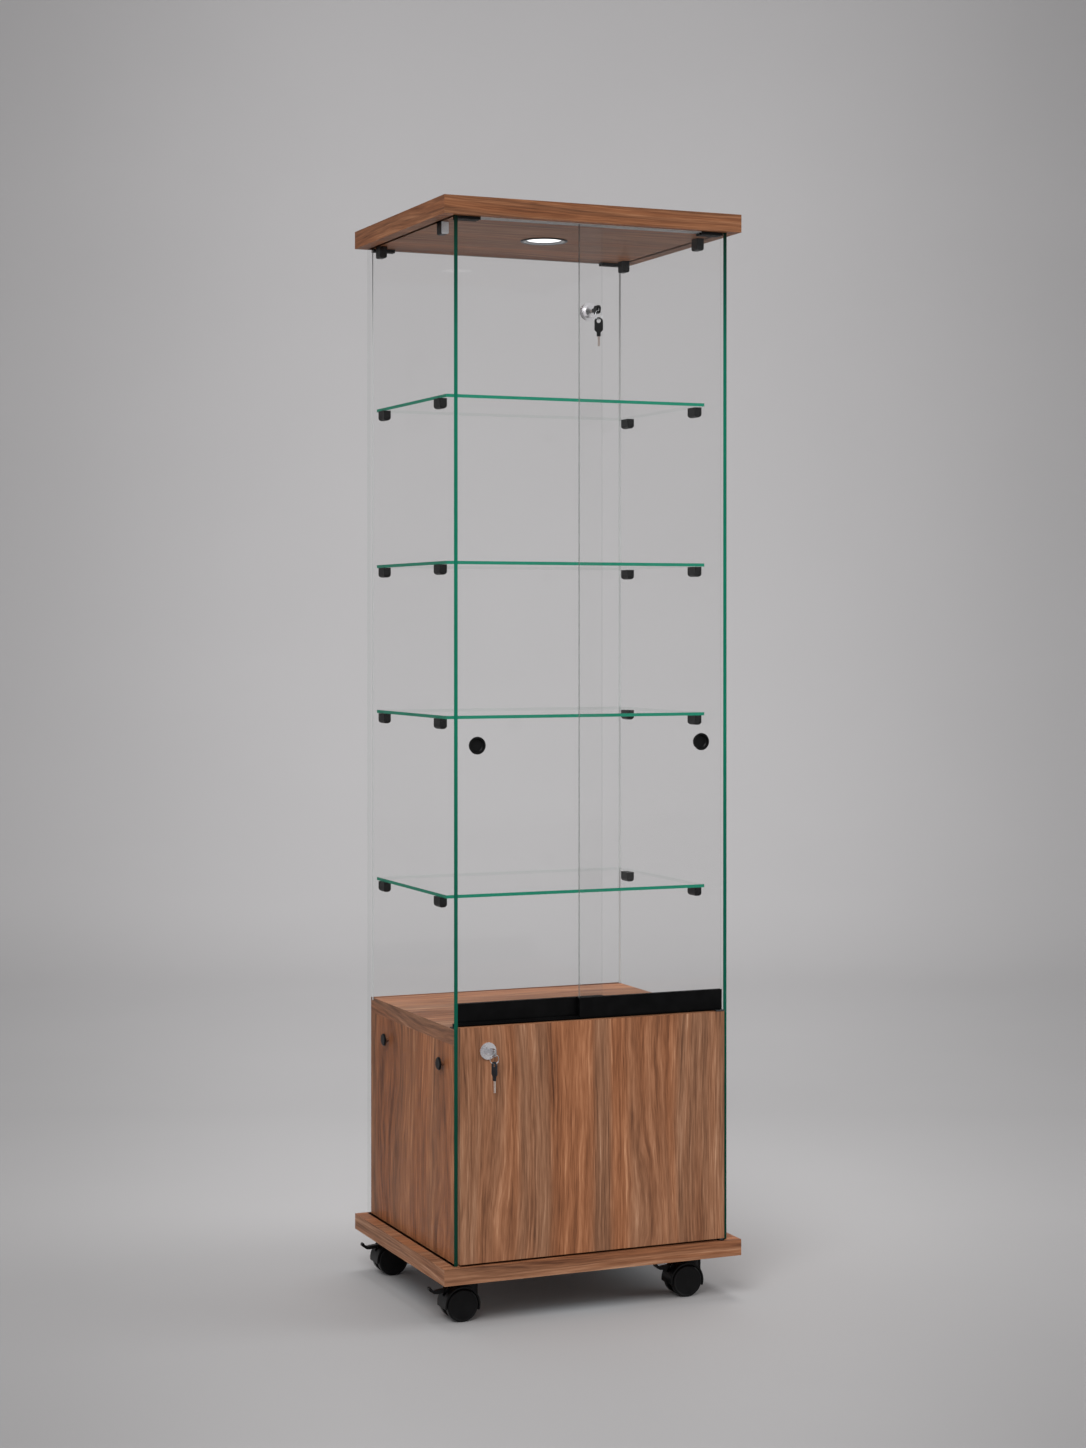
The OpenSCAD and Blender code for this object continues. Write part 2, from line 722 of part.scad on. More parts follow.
module lamp_housing() color(anodised) translate([0, 0, top_z]) rotate_extrude() polygon([
    [0, lamp_h], [lens_d / 2 + 5, lamp_h], [lens_d / 2 + 5.5, lamp_h - 0.5],
    [lens_d / 2 + 5.5, 0], [bezel_d / 2, 0], [bezel_d / 2, -0.8], [bezel_d / 2 - 1, -1.8],
    [bezel_d / 2 - 4, -2], [lens_d / 2 + 1.5, -0.6], [lens_d / 2 + 0.1, 1.2],
    [lens_d / 2 + 0.1, 4], [0, 4]]);

module lamp_lens() color("#f6f4ee") translate([0, 0, top_z]) rotate_extrude() polygon([
    [0, 3.9], [lens_d / 2, 3.9], [lens_d / 2, 1.4], [lens_d / 2 - 4, 0.9],
    [lens_d / 2 - 12, 0.5], [0, 0.3]]);

// ---- casters ----

// Square plate with corner screw holes and the stem that the hood turns on
module caster_plate() {
    difference() {
        block([-plate_w / 2, -plate_w / 2, base_z - plate_t], [plate_w / 2, plate_w / 2, base_z]);
        for (x = [-1, 1], y = [-1, 1])
            translate([x * (plate_w / 2 - 6), y * (plate_w / 2 - 6), base_z - plate_t - past])
                cylinder(d = 4.5, h = plate_t + 2 * past);
    }
    translate([0, 0, base_z - plate_t - stem_l]) cylinder(d = stem_d, h = stem_l);
}

module caster_plates() color(black)
    for (x = [-caster_x, caster_x], y = [front_caster_y, rear_caster_y])
        translate([x, y, 0]) caster_plate();

// Fender, web and swivel neck in one moulding; the wheel's axis lies at -trail
module hood() color(black) {
    hood_shell();
    rod([-trail + lever_x, -lever_w / 2 - 1.5, wheel_r + lever_z], lever_pin_d, lever_w + 3);
}

module hood_shell() difference() {
    union() {
        rod([-trail + lever_x, -lever_w / 2 - 3, wheel_r + lever_z], 8, lever_w + 6);
        intersection() {
            rod([-trail, -hood_w / 2, wheel_r], 2 * hood_r, hood_w);
            union() {
                block([-trail - hood_r - past, -hood_w, wheel_r - hood_front],
                      [-trail, hood_w, hood_top]);
                block([-trail, -hood_w, wheel_r - hood_rear],
                      [-trail + hood_r + past, hood_w, hood_top]);
            }
        }
        translate([0, 0, wheel_r + 14]) cylinder(r = neck_r, h = hood_top - wheel_r - 14);
        block([-trail, -neck_r, wheel_r + 14], [0, neck_r, hood_top]);
        block([0, -neck_half, wheel_r + 14], [neck_r, neck_half, hood_top]);
        rod([-trail, -web_w / 2, wheel_r], hub_d, web_w);
    }
    for (side = [-1, 1]) rod([-trail, side > 0 ? web_w / 2 : -hood_w - web_w / 2, wheel_r],
        2 * wheel_r + 2, hood_w);
    rod([-trail, -hood_w, wheel_r], axle_d + 2 * run_fit, 2 * hood_w);
    translate([0, 0, base_z - plate_t - stem_l - 0.5])
        cylinder(d = stem_d + 2 * run_fit, h = stem_l + past);
    block([-trail - hood_r - past, -lever_w / 2 - 0.4, wheel_r + lever_z - 9],
          [-trail + lever_x + 9, lever_w / 2 + 0.4, hood_top + past]);
}

// Two tyres with dished faces on one axle
module wheels() color(black) translate([-trail, 0, wheel_r]) rotate([-90, 0, 0]) {
    for (side = [0, 1]) mirror([0, 0, side]) translate([0, 0, web_w / 2 + wheel_gap / 2])
        rotate_extrude() polygon([[0, 0], [wheel_r - 1.5, 0], [wheel_r, 1.5],
            [wheel_r, wheel_w - 2.5], [wheel_r - 0.8, wheel_w - 0.8], [wheel_r - 2.2, wheel_w],
            [wheel_r - 4, wheel_w - 0.6], [0, wheel_w - 0.2]]);
    translate([0, 0, -web_w / 2 - wheel_gap]) cylinder(d = axle_d, h = web_w + 2 * wheel_gap);
}

// Pressed down at its tip, the lever wedges its heel against the wheels
module brake() color(black) translate([-trail + lever_x, 0, wheel_r + lever_z])
    rotate([90, 0, 0]) translate([0, 0, -lever_w / 2]) linear_extrude(height = lever_w)
    difference() {
        union() {
            circle(d = 7);
            polygon([[0.5, 2.8], [-lever_l / 3, 2], [-lever_l * 0.65, 1],
                [-lever_l * 0.8, lever_rise - 3], [-lever_l + 3, lever_rise + 1],
                [-lever_l + 0.5, lever_rise], [-lever_l, lever_rise - 3],
                [-lever_l + 1.5, lever_rise - 5], [-lever_l * 0.72, -3.6],
                [-lever_l * 0.53, -4.2], [-lever_l * 0.27, -3.2], [0.5, -2.8]]);
        }
        circle(d = lever_pin_d + 2 * run_fit);
    }

module at_caster(x, y) translate([x, y, 0]) children();

module front_left_hood() at_caster(-caster_x, front_caster_y) hood();
module front_left_wheels() at_caster(-caster_x, front_caster_y) wheels();
module front_left_brake() at_caster(-caster_x, front_caster_y) brake();
module front_right_hood() at_caster(caster_x, front_caster_y) hood();
module front_right_wheels() at_caster(caster_x, front_caster_y) wheels();
module front_right_brake() at_caster(caster_x, front_caster_y) brake();
module rear_left_hood() at_caster(-caster_x, rear_caster_y) hood();
module rear_left_wheels() at_caster(-caster_x, rear_caster_y) wheels();
module rear_left_brake() at_caster(-caster_x, rear_caster_y) brake();
module rear_right_hood() at_caster(caster_x, rear_caster_y) hood();
module rear_right_wheels() at_caster(caster_x, rear_caster_y) wheels();
module rear_right_brake() at_caster(caster_x, rear_caster_y) brake();

at_origin() top_board();
at_origin() base_board();
at_origin() display_floor();
at_origin() cabinet_left_side();
at_origin() cabinet_right_side();
at_origin() cabinet_back();
at_origin() cabinet_door();
at_origin() left_glass();
at_origin() right_glass();
at_origin() back_glass();
at_origin() shelf_1();
at_origin() shelf_2();
at_origin() shelf_3();
at_origin() shelf_4();
at_origin() shelf_supports();
at_origin() top_brackets();
at_origin() top_corner_blocks();
at_origin() glass_caps();
at_origin() top_channel();
at_origin() bottom_track();
at_origin() lamp_housing();
at_origin() lamp_lens();
at_origin() pivot_bracket();
at_origin() pivot_bush();
at_origin() pivot_pins();
at_origin() outer_pane();
at_origin() inner_pane();
at_origin() outer_rail();
at_origin() inner_rail();
at_origin() outer_pull();
at_origin() inner_pull();
at_origin() outer_roller_left();
at_origin() outer_roller_right();
at_origin() inner_roller_left();
at_origin() inner_roller_right();
at_origin() upper_lock_barrel();
at_origin() upper_lock_plug();
at_origin() upper_lock_bolt();
at_origin() upper_key();
at_origin() upper_key_ring();
at_origin() upper_spare_key();
at_origin() lower_lock_barrel();
at_origin() lower_lock_plug();
at_origin() lower_lock_cam();
at_origin() lower_key();
at_origin() lower_key_ring();
at_origin() lower_spare_key();
at_origin() caster_plates();
at_origin() front_left_hood();
at_origin() front_left_wheels();
at_origin() front_left_brake();
at_origin() front_right_hood();
at_origin() front_right_wheels();
at_origin() front_right_brake();
at_origin() rear_left_hood();
at_origin() rear_left_wheels();
at_origin() rear_left_brake();
at_origin() rear_right_hood();
at_origin() rear_right_wheels();
at_origin() rear_right_brake();
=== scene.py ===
"""Looks of the glass display tower: finishes, studio and camera.

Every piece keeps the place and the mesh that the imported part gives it. The classes
below hold one sub-assembly each and dress it with finishes that are built from nodes.
"""

from __future__ import annotations

import logging
import math
from dataclasses import dataclass, field
from enum import Enum
from typing import Callable, Sequence, Union

import bmesh
import bpy
from mathutils import Euler, Matrix, Vector

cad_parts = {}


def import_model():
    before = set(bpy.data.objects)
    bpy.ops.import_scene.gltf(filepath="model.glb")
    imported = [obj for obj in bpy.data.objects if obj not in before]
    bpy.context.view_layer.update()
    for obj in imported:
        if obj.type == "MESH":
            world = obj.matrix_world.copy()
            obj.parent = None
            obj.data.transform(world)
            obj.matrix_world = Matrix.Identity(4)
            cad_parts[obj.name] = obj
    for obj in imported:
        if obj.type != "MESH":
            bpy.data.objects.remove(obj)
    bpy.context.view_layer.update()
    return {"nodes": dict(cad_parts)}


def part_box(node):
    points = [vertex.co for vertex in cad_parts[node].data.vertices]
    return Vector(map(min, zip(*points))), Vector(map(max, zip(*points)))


log = logging.getLogger("display_tower")

Colour = tuple[float, float, float]
Point = tuple[float, float, float]
Span = tuple[float, float]
Value = Union[float, "Socket"]

GLASS_IOR = 1.5
FACE_IOR = 1.46
WITHIN_GLASS = (0.99, 0.995, 0.992, 1.0)
THROUGH_EDGE = (0.98, 0.99, 0.985, 1.0)
WHITE: Colour = (1.0, 1.0, 1.0)
UNDER_TOP: Span = (1.50, 1.64)
# Heights between which painted shade darkens the ends of a pane under the top board.
"""Heights between which the ends of a pane darken under the top board."""


class Axis(Enum):
    """A row axis, with the output of a Separate XYZ node that carries it."""

    X = "X"
    Y = "Y"
    Z = "Z"

    @property
    def index(self) -> int:
        """Position of the axis in a vector."""
        return "XYZ".index(self.value)


class Socket:
    """A value inside a material. Python's operators add the Math nodes."""

    def __init__(self, shader: "Shader", output: bpy.types.NodeSocket) -> None:
        """Wraps one output.

        Args:
            shader: The material that the output belongs to.
            output: The output itself.
        """
        self.shader = shader
        self.output = output

    def _math(self, operation: str, first: Value, second: Value) -> "Socket":
        """Adds one Math node.

        Args:
            operation: Blender's name of the operation.
            first: Left operand.
            second: Right operand.

        Returns:
            The node's result.
        """
        return self.shader.node("ShaderNodeMath", {"operation": operation}, {0: first, 1: second})

    def __add__(self, other: Value) -> "Socket":
        """Sum."""
        return self._math("ADD", self, other)

    def __sub__(self, other: Value) -> "Socket":
        """Difference."""
        return self._math("SUBTRACT", self, other)

    def __rsub__(self, other: Value) -> "Socket":
        """Difference with the number on the left."""
        return self._math("SUBTRACT", other, self)

    def __mul__(self, other: Value) -> "Socket":
        """Product."""
        return self._math("MULTIPLY", self, other)

    def __pow__(self, other: Value) -> "Socket":
        """Power."""
        return self._math("POWER", self, other)

    def __truediv__(self, other: Value) -> "Socket":
        """Quotient."""
        return self._math("DIVIDE", self, other)

    def at_most(self, other: Value) -> "Socket":
        """The smaller of the value and another one."""
        return self._math("MINIMUM", self, other)

    def size(self) -> "Socket":
        """The value without its sign."""
        return self._math("ABSOLUTE", self, 0.0)

    def over(self, low: float, high: float) -> "Socket":
        """The value spread smoothly so that low becomes 0 and high becomes 1.

        Args:
            low: Input that gives 0.
            high: Input that gives 1.

        Returns:
            The spread value.
        """
        settings = {"interpolation_type": "SMOOTHSTEP"}
        return self.shader.node(
            "ShaderNodeMapRange", settings, {"Value": self, "From Min": low, "From Max": high}
        )


class Shader:
    """A material and the one method that adds nodes to it."""

    def __init__(self, name: str) -> None:
        """Starts an empty material.

        Args:
            name: The material's name.
        """
        self.material = bpy.data.materials.new(name)
        self.material.use_nodes = True
        self.tree = self.material.node_tree
        self.tree.nodes.clear()
        self.end = self.tree.nodes.new("ShaderNodeOutputMaterial")

    def node(
        self,
        kind: str,
        settings: dict[str, object] | None = None,
        inputs: dict[Union[int, str], object] | None = None,
        output: Union[int, str] = 0,
    ) -> Socket:
        """Adds a node, sets its options first and then its sockets.

        Args:
            kind: Blender's node type.
            settings: Options, such as an operation; "stops" holds a ramp's stops.
            inputs: Values or links, by socket index or name.
            output: The output to hand back.

        Returns:
            The chosen output.
        """
        node = self.tree.nodes.new(kind)
        for key, value in (settings or {}).items():
            if key == "stops":
                self._stops(node, value)
            else:
                setattr(node, key, value)
        for key, value in (inputs or {}).items():
            if isinstance(value, Socket):
                self.tree.links.new(value.output, node.inputs[key])
            else:
                node.inputs[key].default_value = value
        return Socket(self, node.outputs[output])

    @staticmethod
    def _stops(node: bpy.types.Node, stops: Sequence[tuple[float, Colour]]) -> None:
        """Fills a colour ramp.

        Args:
            node: The ramp.
            stops: Place and colour of each stop, in order.
        """
        elements = node.color_ramp.elements
        while len(elements) < len(stops):
            elements.new(1.0)
        for element, (place, colour) in zip(elements, stops):
            element.position = place
            element.color = (*colour, 1.0)

    def place(self) -> dict[Axis, Socket]:
        """The point on the object, in metres, as three values."""
        point = self.node("ShaderNodeTexCoord", output="Object")
        return {
            axis: self.node("ShaderNodeSeparateXYZ", {}, {0: point}, axis.value) for axis in Axis
        }

    def point(self, x: Value, y: Value, z: Value) -> Socket:
        """A vector made of three values."""
        return self.node("ShaderNodeCombineXYZ", {}, {0: x, 1: y, 2: z})

    def noise(
        self, vector: Socket, scale: float, detail: float = 2.0, rough: float = 0.5
    ) -> Socket:
        """Smooth noise from 0 to 1.

        Args:
            vector: Where the noise is read.
            scale: How fine it is.
            detail: Octaves.
            rough: Weight of the finer octaves.

        Returns:
            The noise value.
        """
        inputs = {"Vector": vector, "Scale": scale, "Detail": detail, "Roughness": rough}
        return self.node("ShaderNodeTexNoise", {}, inputs, "Fac")

    def ground(self, place: dict[Axis, Socket]) -> Socket:
        """Marks of the grindstone up the ground end of a pane, from 0 to 1.

        Args:
            place: The point on the object.

        Returns:
            The marks.
        """
        return self.noise(self.point(place[Axis.Z] * 45.0, 3.0, 1.0), 1.0, 2.0)

    def mix(self, factor: Value, first: object, second: object) -> Socket:
        """Blends two colours.

        Args:
            factor: 0 gives the first colour, 1 the second.
            first: Colour or link.
            second: Colour or link.

        Returns:
            The blended colour.
        """
        first = (*first, 1.0) if isinstance(first, tuple) else first
        second = (*second, 1.0) if isinstance(second, tuple) else second
        settings = {"data_type": "RGBA"}
        return self.node("ShaderNodeMix", settings, {0: factor, 6: first, 7: second}, 2)

    def ramp(self, value: Socket, stops: Sequence[tuple[float, Colour]]) -> Socket:
        """Reads a colour off a row of stops.

        Args:
            value: Where to read it, from 0 to 1.
            stops: Place and colour of each stop, in order.

        Returns:
            The colour.
        """
        return self.node("ShaderNodeValToRGB", {"stops": stops}, {"Fac": value})

    def tinted(self, colour: Socket, tint: object) -> Socket:
        """Multiplies a colour by another one."""
        tint = (*tint, 1.0) if isinstance(tint, tuple) else tint
        settings = {"data_type": "RGBA", "blend_type": "MULTIPLY"}
        return self.node("ShaderNodeMix", settings, {0: 1.0, 6: colour, 7: tint}, 2)

    def blend(self, factor: Value, first: Socket, second: Socket) -> Socket:
        """Mixes two surfaces; 0 gives the first, 1 the second."""
        return self.node("ShaderNodeMixShader", {}, {0: factor, 1: first, 2: second})

    def bump(self, height: Socket, strength: float, distance: float) -> Socket:
        """A surface relief.

        Args:
            height: The relief from 0 to 1.
            strength: How much of it shows.
            distance: Its depth in metres.

        Returns:
            The bent normal.
        """
        inputs = {"Strength": strength, "Distance": distance, "Height": height}
        return self.node("ShaderNodeBump", {}, inputs)

    def surface(self, **inputs: object) -> Socket:
        """A Principled BSDF; underscores in the names stand for spaces."""
        named = {key.replace("_", " "): value for key, value in inputs.items()}
        for key, value in named.items():
            if isinstance(value, tuple) and len(value) == 3:
                named[key] = (*value, 1.0)
        return self.node("ShaderNodeBsdfPrincipled", {}, named)

    def from_inside(self, surface: Socket, clear: Value) -> Socket:
        """Lets a glass edge nearly vanish where it is met from within the glass.

        Args:
            surface: The edge as it looks from outside.
            clear: How much shows through it from within.

        Returns:
            The edge's surface.
        """
        inside = self.node("ShaderNodeNewGeometry", output="Backfacing")
        open_air = self.node("ShaderNodeBsdfTransparent", {}, {0: WITHIN_GLASS})
        return self.blend(inside * clear, surface, open_air)

    def finish(self, surface: Socket) -> bpy.types.Material:
        """Connects the surface and hands the material back."""
        self.tree.links.new(surface.output, self.end.inputs["Surface"])
        return self.material


@dataclass(frozen=True)
class Layer:
    """One layer of noise in the grain, drawn out along the grain.

    Attributes:
        across: How fine it is across the grain.
        along: How fine it is along the grain.
        weight: How strongly it counts.
        shift: Moves it away from the other layers.
        detail: Octaves.
        rough: Weight of the finer octaves.
    """

    across: float
    along: float
    weight: float = 0.0
    shift: float = 0.0
    detail: float = 2.0
    rough: float = 0.5

    def read(self, shader: Shader, side: Value, run: Value, seed: float) -> Socket:
        """Adds the layer to a material.

        Args:
            shader: The material.
            side: Place across the grain.
            run: Place along the grain.
            seed: Shifts the pattern of one board.

        Returns:
            The noise value, from 0 to 1.
        """
        where = shader.point(side * self.across, run * self.along, seed + self.shift)
        return shader.noise(where, 1.0, self.detail, self.rough)


@dataclass(frozen=True)
class Walnut:
    """Walnut-grain laminate with streaks along one row axis and pores between them.

    One tone, built from wide bands, streaks and fibres, picks the colour from dark to light.
    A second, slower pattern leans it towards red or grey.

    Attributes:
        tones: Colour of each tone, from dark to light.
        warm: Lean towards red.
        cool: Lean towards grey.
        drift: Slow sideways bend of the streaks.
        wander: Quick sideways bend of the streaks.
        bands: Wide bands of the tone.
        hue: Where the colour leans to red and where to grey.
        streaks: Streaks of the tone.
        lines: Thin lines of the tone.
        fibre: Fibres, which also roughen the face.
        flecks: Short dark flecks.
        pores: Fine grooves.
        sheen: Roughness of the face.
        gloss: Strength of its reflection.
    """

    tones: tuple[tuple[float, Colour], ...] = (
        (0.05, (0.085, 0.033, 0.017)),
        (0.24, (0.158, 0.065, 0.033)),
        (0.40, (0.232, 0.096, 0.047)),
        (0.50, (0.275, 0.117, 0.058)),
        (0.60, (0.322, 0.141, 0.071)),
        (0.77, (0.420, 0.200, 0.108)),
        (0.95, (0.560, 0.300, 0.176)),
    )
    warm: Colour = (1.03, 0.94, 0.85)
    cool: Colour = (0.94, 1.05, 1.15)
    drift: Layer = Layer(7.5, 1.5, 0.100, detail=1.0)
    wander: Layer = Layer(26.0, 9.0, 0.010, 5.0, 3.0)
    bands: Layer = Layer(24.0, 0.8, 0.62)
    hue: Layer = Layer(19.0, 0.7, shift=3.0)
    streaks: Layer = Layer(95.0, 2.6, 0.95, 0.0, 4.0, 0.62)
    lines: Layer = Layer(260.0, 9.0, 1.10, 2.0, 3.0, 0.62)
    fibre: Layer = Layer(620.0, 24.0, 0.52, rough=0.6)
    flecks: Layer = Layer(190.0, 16.0, 0.22, 8.0)
    pores: Layer = Layer(1500.0, 55.0, 0.14, detail=1.0)
    sheen: float = 0.46
    gloss: float = 0.16

    def material(
        self, name: str, along: Axis, across: Axis, seed: float, shade: Colour, fine: float
    ) -> bpy.types.Material:
        """Builds the laminate for one direction of the grain.

        Args:
            name: The material's name.
            along: Axis that the grain follows.
            across: Axis across the streaks.
            seed: Shifts the pattern, so that no two boards match.
            shade: Painted light and shade of this sheet of laminate, as a colour that multiplies
                it.
            fine: How much finer its streaks are than the door's.

        Returns:
            The material.
        """
        shader = Shader(name)
        place = shader.place()
        run = place[along] + seed * 1.7
        straight = place[across] * fine + seed
        drift = self.drift.read(shader, straight, run, seed)
        wander = self.wander.read(shader, straight, run, seed)
        side = straight + (drift - 0.5) * self.drift.weight + (wander - 0.5) * self.wander.weight
        bands = self.bands.read(shader, side, run, seed)
        hue = self.hue.read(shader, side, run, seed)
        streaks = self.streaks.read(shader, side, run, seed)
        lines = self.lines.read(shader, side, run, seed)
        fibre = self.fibre.read(shader, straight, run, seed)
        flecks = self.flecks.read(shader, straight, run, seed)
        grooves = self.pores.read(shader, straight, run, seed).over(0.34, 0.20)
        tone = (
            (bands - 0.5) * self.bands.weight + (streaks - 0.5) * self.streaks.weight
            + (lines - 0.5) * self.lines.weight + (fibre - 0.5) * self.fibre.weight + 0.5
        )
        tone = tone - flecks.over(0.66, 0.80) * self.flecks.weight - grooves * self.pores.weight
        body = shader.ramp(tone, self.tones)
        body = shader.tinted(body, shader.mix(hue.over(0.34, 0.66), self.cool, self.warm))
        # Painted light and shade of this face, multiplied into the laminate.
        body = shader.tinted(body, shade)
        relief = shader.bump(fibre * 0.5 - grooves * 0.5 + 0.5, 0.10, 0.0003)
        surface = shader.surface(
            Base_Color=body, Roughness=fibre * 0.10 + self.sheen, Normal=relief, IOR=FACE_IOR,
            Specular_IOR_Level=self.gloss,
        )
        return shader.finish(surface)


@dataclass(frozen=True)
class ClearGlass:
    """Float glass seen straight through, with a faint reflection that grows at a slant.

    Attributes:
        tint: What one face lets through.
        share: How much of the true reflection shows.
        most: The most that it may reach.
    """

    tint: Colour = (0.9958, 0.9960, 0.9957)
    share: float = 0.5
    most: float = 0.020

    def material(self, name: str) -> bpy.types.Material:
        """Builds the faces of a pane.

        Args:
            name: The material's name.

        Returns:
            The material.
        """
        shader = Shader(name)
        clear = shader.node("ShaderNodeBsdfTransparent", {}, {0: (*self.tint, 1.0)})
        mirror = shader.node("ShaderNodeBsdfAnisotropic", {}, {"Roughness": 0.0})
        slant = shader.node("ShaderNodeFresnel", {}, {"IOR": FACE_IOR})
        return shader.finish(shader.blend((slant * self.share).at_most(self.most), clear, mirror))


@dataclass(frozen=True)
class GlassEdge:
    """Polished edge of a pane, where the glass shows its own green.

    Attributes:
        stops: Greens along the edge, from its low end to its high one.
        low: Where the edge begins, in metres.
        high: Where it ends.
        rim: Distances from the middle between which the outer arris comes in, if it shows.
        arris: How much the arris hides from within, low down and in addition at the top.
        lifted: Heights between which that addition comes in.
        clear: How much shows through the edge from within.
        shine: Its roughness.
        gloss: Strength of its reflection.
    """

    stops: tuple[tuple[float, Colour], ...] = (
        (0.0, (0.008, 0.215, 0.130)),
        (1.0, (0.012, 0.255, 0.156)),
    )
    low: float = -0.5
    high: float = 0.5
    rim: Span | None = None
    arris: Span = (0.22, 0.40)
    lifted: Span = (1.30, 1.60)
    clear: float = 0.94
    shine: float = 0.16
    gloss: float = 0.12

    def material(self, name: str, along: Axis) -> bpy.types.Material:
        """Builds the edge with a slow change of green along it.

        Args:
            name: The material's name.
            along: Axis that the edge runs along.

        Returns:
            The material.
        """
        shader = Shader(name)
        place = shader.place()
        height = (place[along] - self.low) / (self.high - self.low)
        slow = shader.noise(shader.point(place[along] * 5.0, 0.0, 2.0), 1.0, 2.0)
        fine = shader.noise(shader.point(place[along] * 60.0, 1.0, 5.0), 1.0, 2.0)
        cloud = (slow * 0.7 + fine * 0.3).over(0.30, 0.70)
        shade = shader.mix(cloud, (0.86, 0.86, 0.86), WHITE)
        colour = shader.tinted(shader.ramp(height, self.stops), shade)
        surface = shader.surface(
            Base_Color=colour, Roughness=fine * 0.10 + self.shine, IOR=GLASS_IOR,
            Specular_IOR_Level=self.gloss,
        )
        clear: Value = self.clear
        if self.rim:
            arris = place[Axis.X].size().over(*self.rim)
            below, above = self.arris
            clear = clear - arris * (place[Axis.Z].over(*self.lifted) * above + below)
        return shader.finish(shader.from_inside(surface, clear))


@dataclass(frozen=True)
class FaintEdge:
    """Edge of a pane that lets most of what is behind it through.

    Attributes:
        colour: The edge below.
        dark: The edge under the top board, where painted shade darkens it.
        shows: How much of it shows from outside.
        clear: How much shows through it from within.
    """

    colour: Colour = (0.20, 0.235, 0.225)
    dark: Colour = (0.045, 0.05, 0.05)
    shows: float = 0.60
    clear: float = 0.90

    def material(self, name: str) -> bpy.types.Material:
        """Builds the edge, with painted shade darkening it towards its top.

        Args:
            name: The material's name.

        Returns:
            The material.
        """
        shader = Shader(name)
        place = shader.place()
        # Painted shade of the top board on the upper end of the edge.
        colour = shader.mix(place[Axis.Z].over(*UNDER_TOP), self.colour, self.dark)
        fine = shader.ground(place)
        body = shader.surface(
            Base_Color=colour, Roughness=fine * 0.10 + 0.20, IOR=GLASS_IOR, Specular_IOR_Level=0.2
        )
        behind = shader.node("ShaderNodeBsdfTransparent", {}, {0: THROUGH_EDGE})
        body = shader.blend(fine * 0.2 + (self.shows - 0.1), behind, body)
        return shader.finish(shader.from_inside(body, self.clear))


@dataclass(frozen=True)
class GroundEdge:
    """Ground end of the back pane where it meets a side pane; it lets nothing through.

    Attributes:
        left: Colour of the left end, kept darker than the right as painted shade.
        right: Colour of the right end, kept paler as painted light.
        dark: How much of either colour painted shade leaves under the top board.
    """

    left: Colour = (0.68, 0.70, 0.69)
    right: Colour = (0.82, 0.84, 0.83)
    dark: float = 0.35

    def material(self, name: str) -> bpy.types.Material:
        """Builds the end, with painted light paler on the right and painted shade darker towards
        its top.

        Args:
            name: The material's name.

        Returns:
            The material.
        """
        shader = Shader(name)
        place = shader.place()
        # Painted light and shade: the right end paler than the left.
        colour = shader.mix(place[Axis.X].over(-0.1, 0.1), self.left, self.right)
        # Painted shade under the top board.
        shade = shader.mix(place[Axis.Z].over(*UNDER_TOP), WHITE, (self.dark,) * 3)
        rough = shader.ground(place) * 0.2 + 0.45
        colour = shader.tinted(colour, shade)
        surface = shader.surface(Base_Color=colour, Roughness=rough, Specular_IOR_Level=0.2)
        return shader.finish(surface)


@dataclass(frozen=True)
class Plastic:
    """A moulding with a fine spark-eroded grain.

    Attributes:
        colour: Fresh colour.
        worn: Colour of the paler clouds.
        roughness: Roughness in the middle of its range.
        grain: How fine the grain is.
        depth: How much of the grain shows.
        gloss: Strength of its reflection.
    """

    colour: Colour = (0.0030, 0.0030, 0.0032)
    worn: Colour = (0.0052, 0.0052, 0.0055)
    roughness: float = 0.38
    grain: float = 1400.0
    depth: float = 0.18
    gloss: float = 0.17

    def material(self, name: str) -> bpy.types.Material:
        """Builds the moulding's finish.

        Args:
            name: The material's name.

        Returns:
            The material.
        """
        shader = Shader(name)
        where = shader.node("ShaderNodeTexCoord", output="Object")
        speck = shader.noise(where, self.grain, 2.0)
        cloud = shader.noise(where, 45.0, 3.0)
        colour = shader.mix(cloud.over(0.35, 0.7), self.colour, self.worn)
        relief = shader.bump(speck, self.depth, 0.0001)
        rough = cloud * 0.12 + (self.roughness - 0.06)
        surface = shader.surface(
            Base_Color=colour, Roughness=rough, Normal=relief, Specular_IOR_Level=self.gloss
        )
        return shader.finish(surface)


@dataclass(frozen=True)
class Metal:
    """Plated or anodised metal with light brush lines and a breath of wear.

    Attributes:
        colour: Fresh colour.
        dull: Colour where it has worn.
        roughness: Roughness in the middle of its range.
        brush: How much of the brush lines shows.
        along: Axis that the brush lines follow.
    """

    colour: Colour = (0.62, 0.63, 0.65)
    dull: Colour = (0.50, 0.51, 0.53)
    roughness: float = 0.22
    brush: float = 0.05
    along: Axis = Axis.X

    def material(self, name: str) -> bpy.types.Material:
        """Builds the metal.

        Args:
            name: The material's name.

        Returns:
            The material.
        """
        shader = Shader(name)
        place = shader.place()
        scale = {axis: 60.0 if axis is self.along else 2400.0 for axis in Axis}
        lines = shader.noise(shader.point(*(place[axis] * scale[axis] for axis in Axis)), 1.0, 2.0)
        cloud = shader.noise(shader.node("ShaderNodeTexCoord", output="Object"), 120.0, 3.0)
        colour = shader.mix(cloud.over(0.40, 0.75), self.colour, self.dull)
        relief = shader.bump(lines, self.brush, 0.0001)
        rough = lines * 0.10 + cloud * 0.08 + (self.roughness - 0.09)
        surface = shader.surface(Base_Color=colour, Roughness=rough, Metallic=1.0, Normal=relief)
        return shader.finish(surface)


